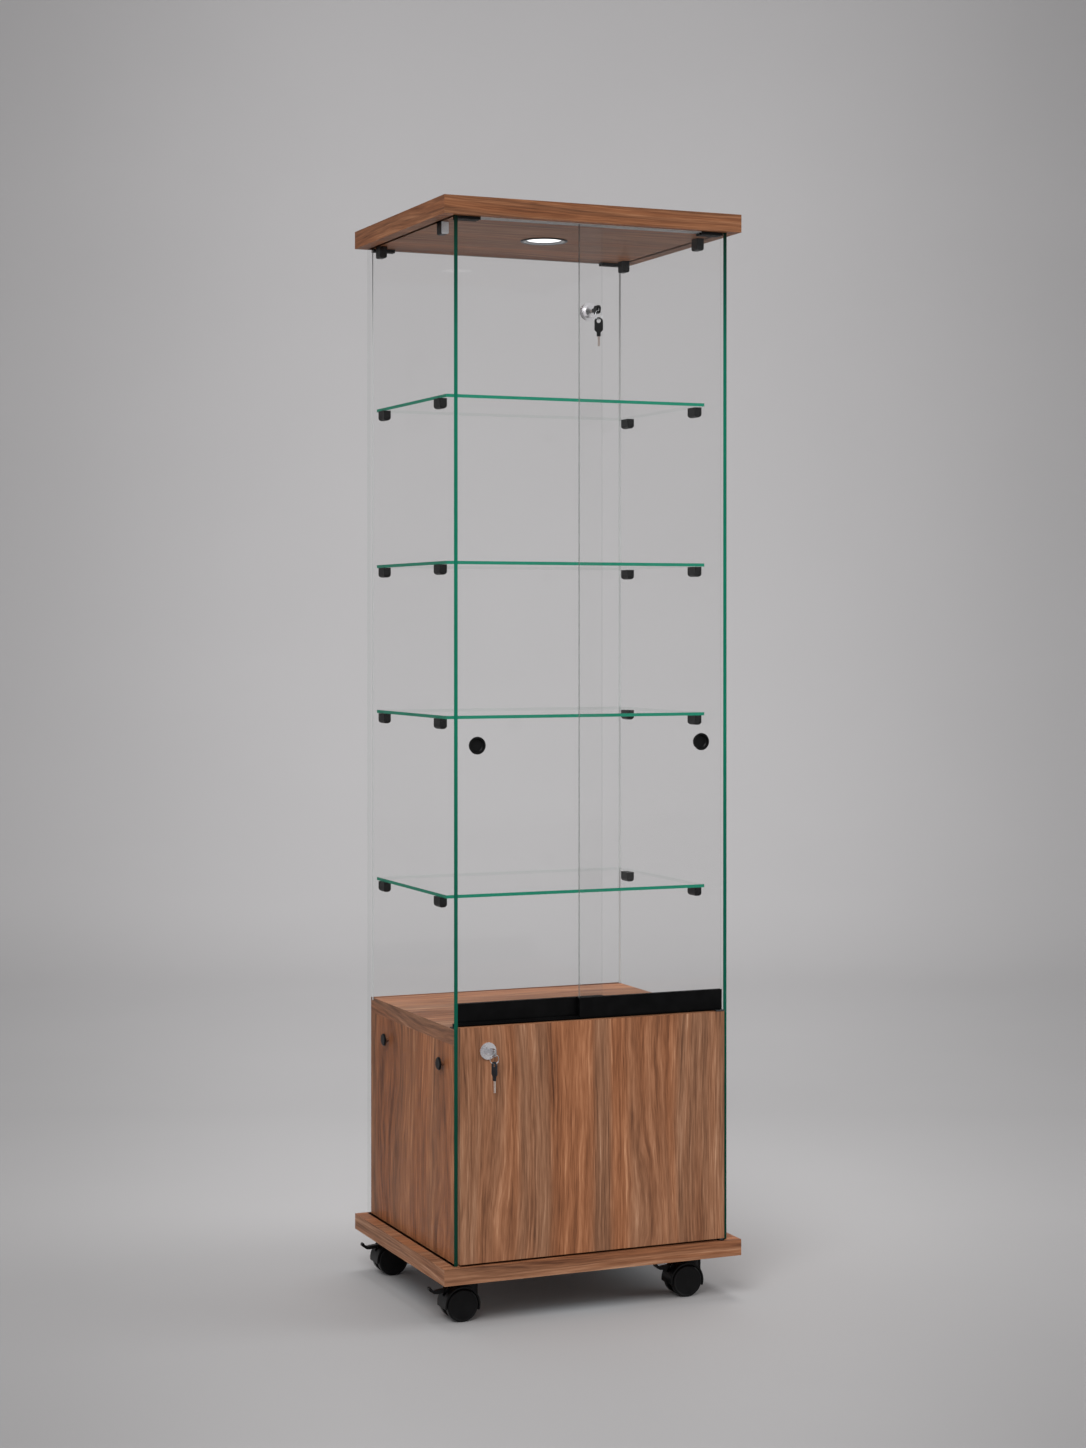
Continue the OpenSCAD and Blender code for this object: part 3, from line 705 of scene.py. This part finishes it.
@dataclass(frozen=True)
class LitLens:
    """Frosted lens of the spotlight, brightest in the middle.

    Attributes:
        glow: Colour of the light in the middle.
        rim: Colour of the light at the rim.
        strength: How bright it is.
    """

    glow: Colour = (1.0, 0.985, 0.955)
    rim: Colour = (0.55, 0.56, 0.58)
    strength: float = 1.6

    def material(self, name: str, centre: Vector, radius: float) -> bpy.types.Material:
        """Builds the lens.

        Args:
            name: The material's name.
            centre: Middle of the lens.
            radius: Its radius in metres.

        Returns:
            The material.
        """
        shader = Shader(name)
        where = shader.node("ShaderNodeTexCoord", output="Object")
        away = shader.node(
            "ShaderNodeVectorMath", {"operation": "DISTANCE"}, {0: where, 1: tuple(centre)}, "Value"
        )
        ring = away.over(radius * 1.02, radius * 0.70)
        colour = shader.mix(ring, self.rim, self.glow)
        surface = shader.surface(
            Base_Color=(0.9, 0.9, 0.88), Roughness=0.35, Emission_Color=colour,
            Emission_Strength=self.strength,
        )
        return shader.finish(surface)


FaceRule = Callable[[Vector, Vector], int]


def dress(
    node: bpy.types.Object, materials: Sequence[bpy.types.Material], rule: FaceRule | None = None
) -> None:
    """Gives a piece its materials, face by face.

    Args:
        node: The piece.
        materials: Its materials.
        rule: Takes a face's normal and middle and gives the material's number.
    """
    mesh = node.data
    mesh.materials.clear()
    for material in materials:
        mesh.materials.append(material)
    for polygon in mesh.polygons:
        polygon.material_index = rule(polygon.normal, polygon.center) if rule else 0


def main_axis(normal: Vector) -> Axis:
    """The row axis that a normal lies nearest to."""
    sizes = [abs(part) for part in normal]
    return list(Axis)[sizes.index(max(sizes))]


@dataclass
class Board:
    """One laminated board and the way its grain runs on each face.

    Attributes:
        name: The board's node.
        seed: Shifts its pattern.
        grain: For each pair of faces, the axis along the grain and the one across it.
        painted_face_light: Painted light and shade of a pair of faces, as a colour that multiplies
            its laminate.
        fine: How much finer the streaks of a pair of faces are.
    """

    name: str
    seed: float
    grain: dict[Axis, tuple[Axis, Axis]]
    painted_face_light: dict[Axis, Colour] = field(default_factory=dict)
    fine: dict[Axis, float] = field(default_factory=dict)

    def dress(self, node: bpy.types.Object, finish: Walnut) -> None:
        """Paints the three pairs of faces.

        Args:
            node: The board.
            finish: The laminate.
        """
        materials = []
        for axis in Axis:
            along, across = self.grain[axis]
            name = f"walnut_{self.name}_{axis.value.lower()}"
            seed = self.seed + axis.index * 0.37
            shade = self.painted_face_light.get(axis, WHITE)
            fine = self.fine.get(axis, 1.0)
            materials.append(finish.material(name, along, across, seed, shade, fine))
        dress(node, materials, lambda normal, middle: main_axis(normal).index)


FLAT_GRAIN = {Axis.X: (Axis.Y, Axis.Z), Axis.Y: (Axis.X, Axis.Z), Axis.Z: (Axis.X, Axis.Y)}
UPRIGHT_GRAIN = {Axis.X: (Axis.Z, Axis.Y), Axis.Y: (Axis.Z, Axis.X), Axis.Z: (Axis.X, Axis.Y)}


@dataclass
class Carcass:
    """Boards of the case."""

    boards: list[Board] = field(
        default_factory=lambda: [
            Board(
                "top_board", 1.3, FLAT_GRAIN,
                # Painted light and shade: the top board's left end and front darker, its top and
                # underside a little paler.
                {
                    Axis.X: (0.90, 0.78, 0.66),
                    Axis.Y: (0.72, 0.67, 0.60),
                    Axis.Z: (1.08, 1.04, 0.98),
                },
                {Axis.X: 1.5, Axis.Y: 1.5},
            ),
            Board("base_board", 4.1, FLAT_GRAIN, fine={Axis.X: 1.5, Axis.Y: 1.5}),
            Board("display_floor", 7.7, FLAT_GRAIN),
            Board(
                "cabinet_left_side", 11.2, UPRIGHT_GRAIN,
                # Painted light: the faces of the left side panel that point along X made paler and
                # warmer.
                {Axis.X: (1.16, 1.07, 0.93)}, {Axis.X: 0.55},
            ),
            Board("cabinet_right_side", 14.9, UPRIGHT_GRAIN, fine={Axis.X: 0.55}),
            Board("cabinet_back", 18.3, UPRIGHT_GRAIN),
            Board("cabinet_door", 21.6, UPRIGHT_GRAIN),
        ]
    )
    finish: Walnut = field(default_factory=Walnut)

    def dress(self, nodes: dict[str, bpy.types.Object]) -> None:
        """Paints every board."""
        for board in self.boards:
            board.dress(nodes[board.name], self.finish)


class PaneKind(Enum):
    """How a pane's edges look."""

    UPRIGHT = "upright"
    SHELF = "shelf"
    HIDDEN = "hidden"
    MEETING = "meeting"


@dataclass
class Pane:
    """A sheet of glass, the axis it is thin along and how its edges look."""

    name: str
    thin: Axis
    kind: PaneKind


@dataclass
class Glazing:
    """All the glass: side panes, back pane, shelves and sliding panes.

    Attributes:
        panes: The sheets.
        rim: How far from a sheet's border its edge faces lie at most, in metres.
        clear: Finish of the faces and of the walls of holes.
        upright: Edges of the side panes, with painted light and shade along their height.
        shelf: Edges of the shelves.
        hidden: Ends of the back pane.
        meeting: Edges of the sliding panes.
    """

    panes: list[Pane] = field(
        default_factory=lambda: [
            Pane("left_glass", Axis.X, PaneKind.UPRIGHT),
            Pane("right_glass", Axis.X, PaneKind.UPRIGHT),
            Pane("back_glass", Axis.Y, PaneKind.HIDDEN),
            Pane("outer_pane", Axis.Y, PaneKind.MEETING),
            Pane("inner_pane", Axis.Y, PaneKind.MEETING),
            *(Pane(f"shelf_{number}", Axis.Z, PaneKind.SHELF) for number in range(1, 5)),
        ]
    )
    rim: float = 0.003
    clear: ClearGlass = field(default_factory=ClearGlass)
    upright: GlassEdge = field(
        default_factory=lambda: GlassEdge(
            # The glass's own green, with painted light and shade by height: dark low down beside
            # the cabinet, brightest above it, darkest under the top board.
            (
                (0.00, (0.002, 0.040, 0.024)),
                (0.13, (0.003, 0.066, 0.040)),
                (0.26, (0.003, 0.100, 0.062)),
                (0.36, (0.003, 0.105, 0.065)),
                (0.52, (0.004, 0.165, 0.098)),
                (0.80, (0.004, 0.165, 0.098)),
                (0.90, (0.003, 0.120, 0.074)),
                (0.955, (0.002, 0.060, 0.039)),
                (1.00, (0.001, 0.020, 0.011)),
            ),
            0.09, 1.66, (0.2342, 0.2356),
        )
    )
    shelf: GlassEdge = field(default_factory=GlassEdge)
    hidden: GroundEdge = field(default_factory=GroundEdge)
    meeting: FaintEdge = field(default_factory=FaintEdge)

    def dress(self, nodes: dict[str, bpy.types.Object]) -> None:
        """Gives each pane clear faces and edges in its own green."""
        faces = self.clear.material("glass_face")
        edges = {
            PaneKind.UPRIGHT: self.upright.material("glass_edge_upright", Axis.Z),
            PaneKind.SHELF: self.shelf.material("glass_edge_shelf", Axis.X),
            PaneKind.HIDDEN: self.hidden.material("glass_edge_hidden"),
            PaneKind.MEETING: self.meeting.material("glass_edge_meeting"),
        }
        for pane in self.panes:
            low, high = (Vector(corner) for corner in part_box(pane.name))
            flat = [axis.index for axis in Axis if axis is not pane.thin]

            def rule(normal: Vector, middle: Vector) -> int:
                """1 for an edge, 0 for a face and for the wall of a hole."""
                if main_axis(normal) is pane.thin:
                    return 0
                reach = min(min(middle[at] - low[at], high[at] - middle[at]) for at in flat)
                return int(reach < self.rim)

            dress(nodes[pane.name], [faces, edges[pane.kind]], rule)


@dataclass
class SmallParts:
    """Mouldings, metalwork and casters, most of them with one finish.

    Attributes:
        key_head: Length of a key's head in metres.
        near_doors: Depth from the foremost bracket's front in which a bracket is a front one.
        skin: How far beneath the face of the glass a cap's neck begins.
        moulded: Black mouldings and the upper keys' heads.
        track: Bottom track and rails.
        wheel: Caster wheels.
        painted_glint: Painted reflection: a pale front on the black bracket nearest the doors on
            the left.
        sleeve: Necks of the caps.
        anodised: Top channel.
        zinc: Bolt, cam, rollers, rings and the head of the key in the lower lock.
        steel: Hinge bracket and pins.
        nickel: Blades of the lower keys.
        tarnished: Blades of the upper keys.
        key_moulding: Head of the lower spare key.
        chrome: Lock barrels and plugs.
    """

    key_head: float = 0.029
    near_doors: float = 0.03
    skin: float = 0.0004
    moulded: Plastic = field(default_factory=Plastic)
    track: Plastic = field(
        default_factory=lambda: Plastic(
            (0.0018, 0.0018, 0.0019), (0.0034, 0.0034, 0.0036), 0.36, gloss=0.08
        )
    )
    wheel: Plastic = field(
        default_factory=lambda: Plastic(
            (0.0032, 0.0032, 0.0034), (0.0056, 0.0056, 0.0060), 0.34, 900.0, 0.10
        )
    )
    # Painted reflection, not a part of its own: pale grey on one black bracket's front.
    painted_glint: Plastic = field(
        default_factory=lambda: Plastic(
            (0.66, 0.68, 0.70), (0.78, 0.80, 0.82), 0.40, 900.0, 0.10, 0.5
        )
    )
    sleeve: Plastic = field(
        default_factory=lambda: Plastic(
            (0.175, 0.078, 0.042), (0.215, 0.096, 0.052), 0.6, gloss=0.08
        )
    )
    anodised: Metal = field(
        default_factory=lambda: Metal((0.72, 0.72, 0.72), (0.60, 0.60, 0.60), 0.48)
    )
    zinc: Metal = field(default_factory=lambda: Metal((0.52, 0.53, 0.55), (0.40, 0.41, 0.43), 0.30))
    steel: Metal = field(
        default_factory=lambda: Metal((0.14, 0.14, 0.145), (0.09, 0.09, 0.095), 0.40)
    )
    nickel: Metal = field(
        default_factory=lambda: Metal((0.90, 0.82, 0.76), (0.80, 0.72, 0.66), 0.42)
    )
    tarnished: Metal = field(
        default_factory=lambda: Metal((0.26, 0.22, 0.20), (0.20, 0.17, 0.16), 0.38)
    )
    key_moulding: Plastic = field(
        default_factory=lambda: Plastic((0.014, 0.018, 0.022), (0.022, 0.027, 0.032), 0.34)
    )
    chrome: Metal = field(
        default_factory=lambda: Metal((0.95, 0.93, 0.95), (0.86, 0.84, 0.86), 0.26, 0.02)
    )

    def dress(self, nodes: dict[str, bpy.types.Object]) -> None:
        """Gives every small piece its finish."""
        moulded = self.moulded.material("black_moulding")
        track = self.track.material("black_track")
        wheel = self.wheel.material("black_wheel")
        painted_glint = self.painted_glint.material("bracket_painted_glint")
        anodised = self.anodised.material("anodised_aluminium")
        zinc = self.zinc.material("zinc_plate")
        chrome = self.chrome.material("chrome_plate")
        nickel = self.nickel.material("key_blade")
        tarnished = self.tarnished.material("worn_key_blade")
        grip = self.key_moulding.material("key_moulding")
        steel = self.steel.material("dark_steel")
        finishes = (
            (("shelf_supports", "top_corner_blocks", "pivot_bush", "_pull"), moulded),
            (("caster_plates", "_hood", "_brake"), moulded),
            (("bottom_track", "_rail"), track),
            (("_wheels",), wheel),
            (("top_channel",), anodised),
            (("_lock_bolt", "_lock_cam", "_roller_", "_key_ring"), zinc),
            (("pivot_bracket", "pivot_pins"), steel),
            (("_lock_barrel", "_lock_plug"), chrome),
        )
        for name, node in nodes.items():
            for words, finish in finishes:
                if any(word in name for word in words):
                    dress(node, [finish])
            if name.endswith("_key"):
                lower = name.startswith("lower")
                head = moulded if not lower else grip if "spare" in name else zinc
                self._key(name, node, head, nickel if lower else tarnished)
        self._caps(nodes["glass_caps"], moulded)
        low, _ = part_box("top_brackets")
        front = low[1] + self.near_doors

        # A painted reflection: the front of one black bracket is painted pale.
        def painted_glint_face(normal: Vector, middle: Vector) -> int:
            """1 on the front of the bracket nearest the doors on the left, painted pale as a
            reflection.
            """
            return int(middle.x < 0.0 and middle.y < front and normal.y < -0.6)

        dress(nodes["top_brackets"], [moulded, painted_glint], painted_glint_face)

    def _caps(self, node: bpy.types.Object, disc: bpy.types.Material) -> None:
        """Dresses the caps: a black disc outside, a brown neck where it passes the glass.

        Args:
            node: The caps.
            disc: Finish of the discs.
        """
        low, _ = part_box("left_glass")
        neck = self.sleeve.material("cap_sleeve")

        def rule(normal: Vector, middle: Vector) -> int:
            """1 on the neck, whose faces lie deeper than the face of the glass."""
            return int(abs(middle.x) < abs(low[0]) - self.skin)

        dress(node, [disc, neck], rule)

    def _key(
        self, name: str, node: bpy.types.Object, head: bpy.types.Material, blade: bpy.types.Material
    ) -> None:
        """Splits a key into its moulded head and its metal blade.

        Args:
            name: The key's node.
            node: Its object.
            head: Finish of the head.
            blade: Finish of the blade.
        """
        low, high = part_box(name)
        hanging = name.endswith("spare_key")
        end = high[2] - self.key_head if hanging else low[1] + self.key_head

        def rule(normal: Vector, middle: Vector) -> int:
            """1 where the face belongs to the blade."""
            return int(middle.z < end) if hanging else int(middle.y > end)

        dress(node, [head, blade], rule)


@dataclass
class Spotlight:
    """Recessed spotlight: dark bezel, bright inner ring and the lit lens.

    Attributes:
        lens: Finish of the lens.
        cone: Width of the bright ring around the lens, in metres.
    """

    lens: LitLens = field(default_factory=LitLens)
    cone: float = 0.0052

    def dress(self, nodes: dict[str, bpy.types.Object]) -> None:
        """Dresses the housing and the lens."""
        low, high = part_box("lamp_lens")
        centre = (Vector(low) + Vector(high)) / 2
        radius = (high[0] - low[0]) / 2
        dress(nodes["lamp_lens"], [self.lens.material("lit_lens", centre, radius)])
        bezel = Plastic((0.010, 0.010, 0.011), (0.018, 0.018, 0.019), 0.30).material("lamp_bezel")
        ring = Metal((0.46, 0.47, 0.48), (0.38, 0.39, 0.40), 0.28).material("lamp_ring")

        def rule(normal: Vector, middle: Vector) -> int:
            """1 on the bright cone around the lens."""
            return int(math.hypot(middle.x - centre.x, middle.y - centre.y) < radius + self.cone)

        dress(nodes["lamp_housing"], [bezel, ring], rule)


@dataclass(frozen=True)
class Lamp:
    """A round soft lamp.

    Attributes:
        name: Its name.
        place: Where it hangs.
        aim: The point that it faces.
        size: Its width in metres.
        power: Its power in watts.
    """

    name: str
    place: Point
    aim: Point
    size: float
    power: float

    def build(self) -> None:
        """Hangs the lamp in the scene."""
        data = bpy.data.lights.new(self.name, "AREA")
        data.shape = "DISK"
        data.size = self.size
        data.energy = self.power
        lamp = bpy.data.objects.new(self.name, data)
        lamp.location = self.place
        facing = Vector(self.aim) - Vector(self.place)
        lamp.rotation_euler = facing.to_track_quat("-Z", "Y").to_euler()
        bpy.context.scene.collection.objects.link(lamp)


@dataclass
class Studio:
    """Floor, backdrop, lamps and camera.

    Attributes:
        place: The camera's place.
        yaw: The camera's turn to the right, in radians.
        pitch: Its tilt downwards, in radians.
        focal: Its focal length in picture points.
        picture: Width and height of the picture in points.
        shift: Upward shift of the lens, as a share of the picture's height.
        half_width: Half the width of the paper.
        near: Where the paper begins.
        flat: Length of its floor.
        bend: Radius of its bend.
        bend_steps: Faces along the bend.
        wall: Height of its wall above the bend.
        reach: Depth from the camera to the middle of the case, in metres.
        ahead: Depths between which the painted shade and light towards the sides come in.
        sides: Slants between which painted shade darkens the paper towards its sides.
        painted_side_shade: How much tone the painted shade leaves at the sides.
        slant: Slants at which the two values of lean hold.
        painted_side_lean: Painted light and shade at the left and at the right.
        painted_shadow_fill: Painted light, faintly blue, that lifts the case's shadow on the floor.
        pool_back: How far back the patch lies.
        pool_reach: Radii at which the patch ends and at which it is full.
        mottle: Tone of the darkest clouds in the paper.
        tint: The paper's own colour.
        grey_and_painted_light: Paper grey along the sweep, by depth on the floor and then by
            height, with painted light and shade.
        sky: Colour of the even light.
        sky_strength: Its strength.
        lights: The lamps.
    """

    place: Vector = field(default_factory=lambda: Vector((-1.646, -3.8318, 1.0595)))
    yaw: float = 0.404
    pitch: float = 0.003
    focal: float = 2602.0
    picture: tuple[int, int] = (1086, 1448)
    shift: float = -0.0628
    half_width: float = 9.0
    near: float = -7.0
    flat: float = 10.5
    bend: float = 2.5
    bend_steps: int = 24
    wall: float = 6.0
    reach: float = 4.17
    ahead: Span = (-3.4, -1.6)
    sides: Span = (0.06, 0.25)
    painted_side_shade: float = 0.74
    slant: Span = (-0.25, 0.25)
    painted_side_lean: Span = (1.015, 0.950)
    painted_shadow_fill: Colour = (1.16, 1.32, 1.40)
    pool_back: float = 0.05
    pool_reach: Span = (0.26, 0.14)
    mottle: float = 0.985
    tint: Colour = (1.015, 0.995, 1.0)
    grey_and_painted_light: tuple[Span, ...] = (
        (-7.5, 0.62), (-0.8, 0.34), (0.5, 0.43), (1.5, 0.42), (4.5, 0.58), (8.7, 0.61),
        (12.0, 0.45),
    )
    sky: Colour = (0.72, 0.72, 0.73)
    sky_strength: float = 0.62
    lights: tuple[Lamp, ...] = (
        Lamp("key_lamp", (-2.6, -3.4, 4.4), (0.0, 0.2, 0.8), 3.1, 215.0),
        Lamp("fill_lamp", (3.9, -1.9, 2.6), (0.0, 0.0, 0.8), 3.0, 85.0),
        Lamp("top_lamp", (0.4, 0.6, 5.0), (0.0, 0.5, 0.0), 2.3, 97.0),
    )

    def camera(self) -> None:
        """Places the camera and makes it the scene's own."""
        data = bpy.data.cameras.new("studio_camera")
        data.sensor_fit = "VERTICAL"
        data.sensor_height = 24.0
        data.lens = self.focal / self.picture[1] * data.sensor_height
        data.shift_y = self.shift
        data.clip_end = 60.0
        camera = bpy.data.objects.new("studio_camera", data)
        camera.location = self.place
        camera.rotation_euler = Euler((math.radians(90) - self.pitch, 0.0, -self.yaw))
        bpy.context.scene.collection.objects.link(camera)
        bpy.context.scene.camera = camera
        render = bpy.context.scene.render
        render.resolution_x, render.resolution_y = self.picture

    @staticmethod
    def _grow(
        mesh: bmesh.types.BMesh, run: list[bmesh.types.BMEdge], vec: Point
    ) -> list[bmesh.types.BMEdge]:
        """Draws a row of edges out into faces.

        Args:
            mesh: The mesh.
            run: The row.
            vec: How far it is drawn out.

        Returns:
            The new row.
        """
        grown = bmesh.ops.extrude_edge_only(mesh, edges=run)["geom"]
        verts = [item for item in grown if isinstance(item, bmesh.types.BMVert)]
        bmesh.ops.translate(mesh, verts=verts, vec=vec)
        return [item for item in grown if isinstance(item, bmesh.types.BMEdge)]

    def backdrop(self) -> None:
        """A paper sweep: floor, a wide bend and a wall behind."""
        mesh = bmesh.new()
        start = mesh.verts.new((-self.half_width, self.near, 0.0))
        rest = mesh.verts.new((self.half_width, self.near, 0.0))
        run = self._grow(mesh, [mesh.edges.new((start, rest))], (0.0, self.flat, 0.0))
        bmesh.ops.spin(
            mesh, geom=run, cent=(0.0, self.near + self.flat, self.bend), axis=(1.0, 0.0, 0.0),
            angle=math.radians(90), steps=self.bend_steps, use_merge=False,
        )
        top = max(vert.co.z for vert in mesh.verts) - 1e-4
        run = [item for item in mesh.edges if all(vert.co.z > top for vert in item.verts)]
        self._grow(mesh, run, (0.0, 0.0, self.wall))
        bmesh.ops.remove_doubles(mesh, verts=mesh.verts, dist=1e-5)
        bmesh.ops.rotate(
            mesh, verts=mesh.verts, cent=(0.0, 0.0, 0.0), matrix=Matrix.Rotation(-self.yaw, 3, "Z")
        )
        bmesh.ops.recalc_face_normals(mesh, faces=mesh.faces)
        data = bpy.data.meshes.new("paper_sweep")
        mesh.to_mesh(data)
        mesh.free()
        data.polygons.foreach_set("use_smooth", [True] * len(data.polygons))
        sweep = bpy.data.objects.new("paper_sweep", data)
        bpy.context.scene.collection.objects.link(sweep)
        data.materials.append(self._paper())

    def _paper(self) -> bpy.types.Material:
        """Grey paper with painted light and shade along the sweep, at its sides and under the case.

        Returns:
            The material.
        """
        shader = Shader("studio_paper")
        place = shader.place()
        turn, slide = math.cos(self.yaw), math.sin(self.yaw)
        side = place[Axis.X] * turn - place[Axis.Y] * slide
        deep = place[Axis.X] * slide + place[Axis.Y] * turn
        start, span = self.grey_and_painted_light[0][0], self.grey_and_painted_light[-1][0] - self.grey_and_painted_light[0][0]
        along = (deep + place[Axis.Z] - start) / span
        tint = Vector(self.tint)
        stops = [((at - start) / span, tuple(tint * grey)) for at, grey in self.grey_and_painted_light]
        # Painted light and shade along the sweep.
        colour = shader.ramp(along, stops)
        slant = side / (deep + self.reach)
        ahead = deep.over(*self.ahead)
        # Painted shade towards the sides.
        fall = slant.size().over(*self.sides) * ahead
        colour = shader.tinted(colour, shader.mix(fall, WHITE, (self.painted_side_shade,) * 3))
        left, right = ((share,) * 3 for share in self.painted_side_lean)
        # Painted light on the left and painted shade on the right.
        slope = slant.over(*self.slant) * ahead
        colour = shader.tinted(colour, shader.mix(slope, left, right))
        # Painted light in the case's shadow on the floor.
        away = (place[Axis.X] ** 2.0 + (place[Axis.Y] - self.pool_back) ** 2.0) ** 0.5
        patch = away.over(*self.pool_reach)
        colour = shader.tinted(colour, shader.mix(patch, WHITE, self.painted_shadow_fill))
        cloud = shader.noise(shader.node("ShaderNodeTexCoord", output="Object"), 1.3, 3.0)
        clouds = shader.mix(cloud.over(0.35, 0.68), (self.mottle,) * 3, WHITE)
        colour = shader.tinted(colour, clouds)
        paper = shader.surface(Base_Color=colour, Roughness=0.9, Specular_IOR_Level=0.1)
        return shader.finish(paper)

    def lamps(self) -> None:
        """Large soft lamps and an even world."""
        world = bpy.data.worlds.new("studio_world")
        world.use_nodes = True
        ground = world.node_tree.nodes["Background"]
        ground.inputs["Color"].default_value = (*self.sky, 1.0)
        ground.inputs["Strength"].default_value = self.sky_strength
        bpy.context.scene.world = world
        for light in self.lights:
            light.build()

    def build(self) -> None:
        """Builds the whole studio."""
        self.camera()
        self.backdrop()
        self.lamps()
        bpy.context.scene.view_settings.view_transform = "Standard"


def main() -> None:
    """Builds the studio and dresses the case."""
    logging.basicConfig(level=logging.INFO, format="%(name)s: %(message)s")
    studio = Studio()
    studio.build()
    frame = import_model()
    nodes: dict[str, bpy.types.Object] = frame["nodes"]
    parts = (SmallParts(), Carcass(), Glazing(), Spotlight())
    for part in parts:
        part.dress(nodes)
        log.info("dressed %s", type(part).__name__)


if __name__ == "__main__":
    main()
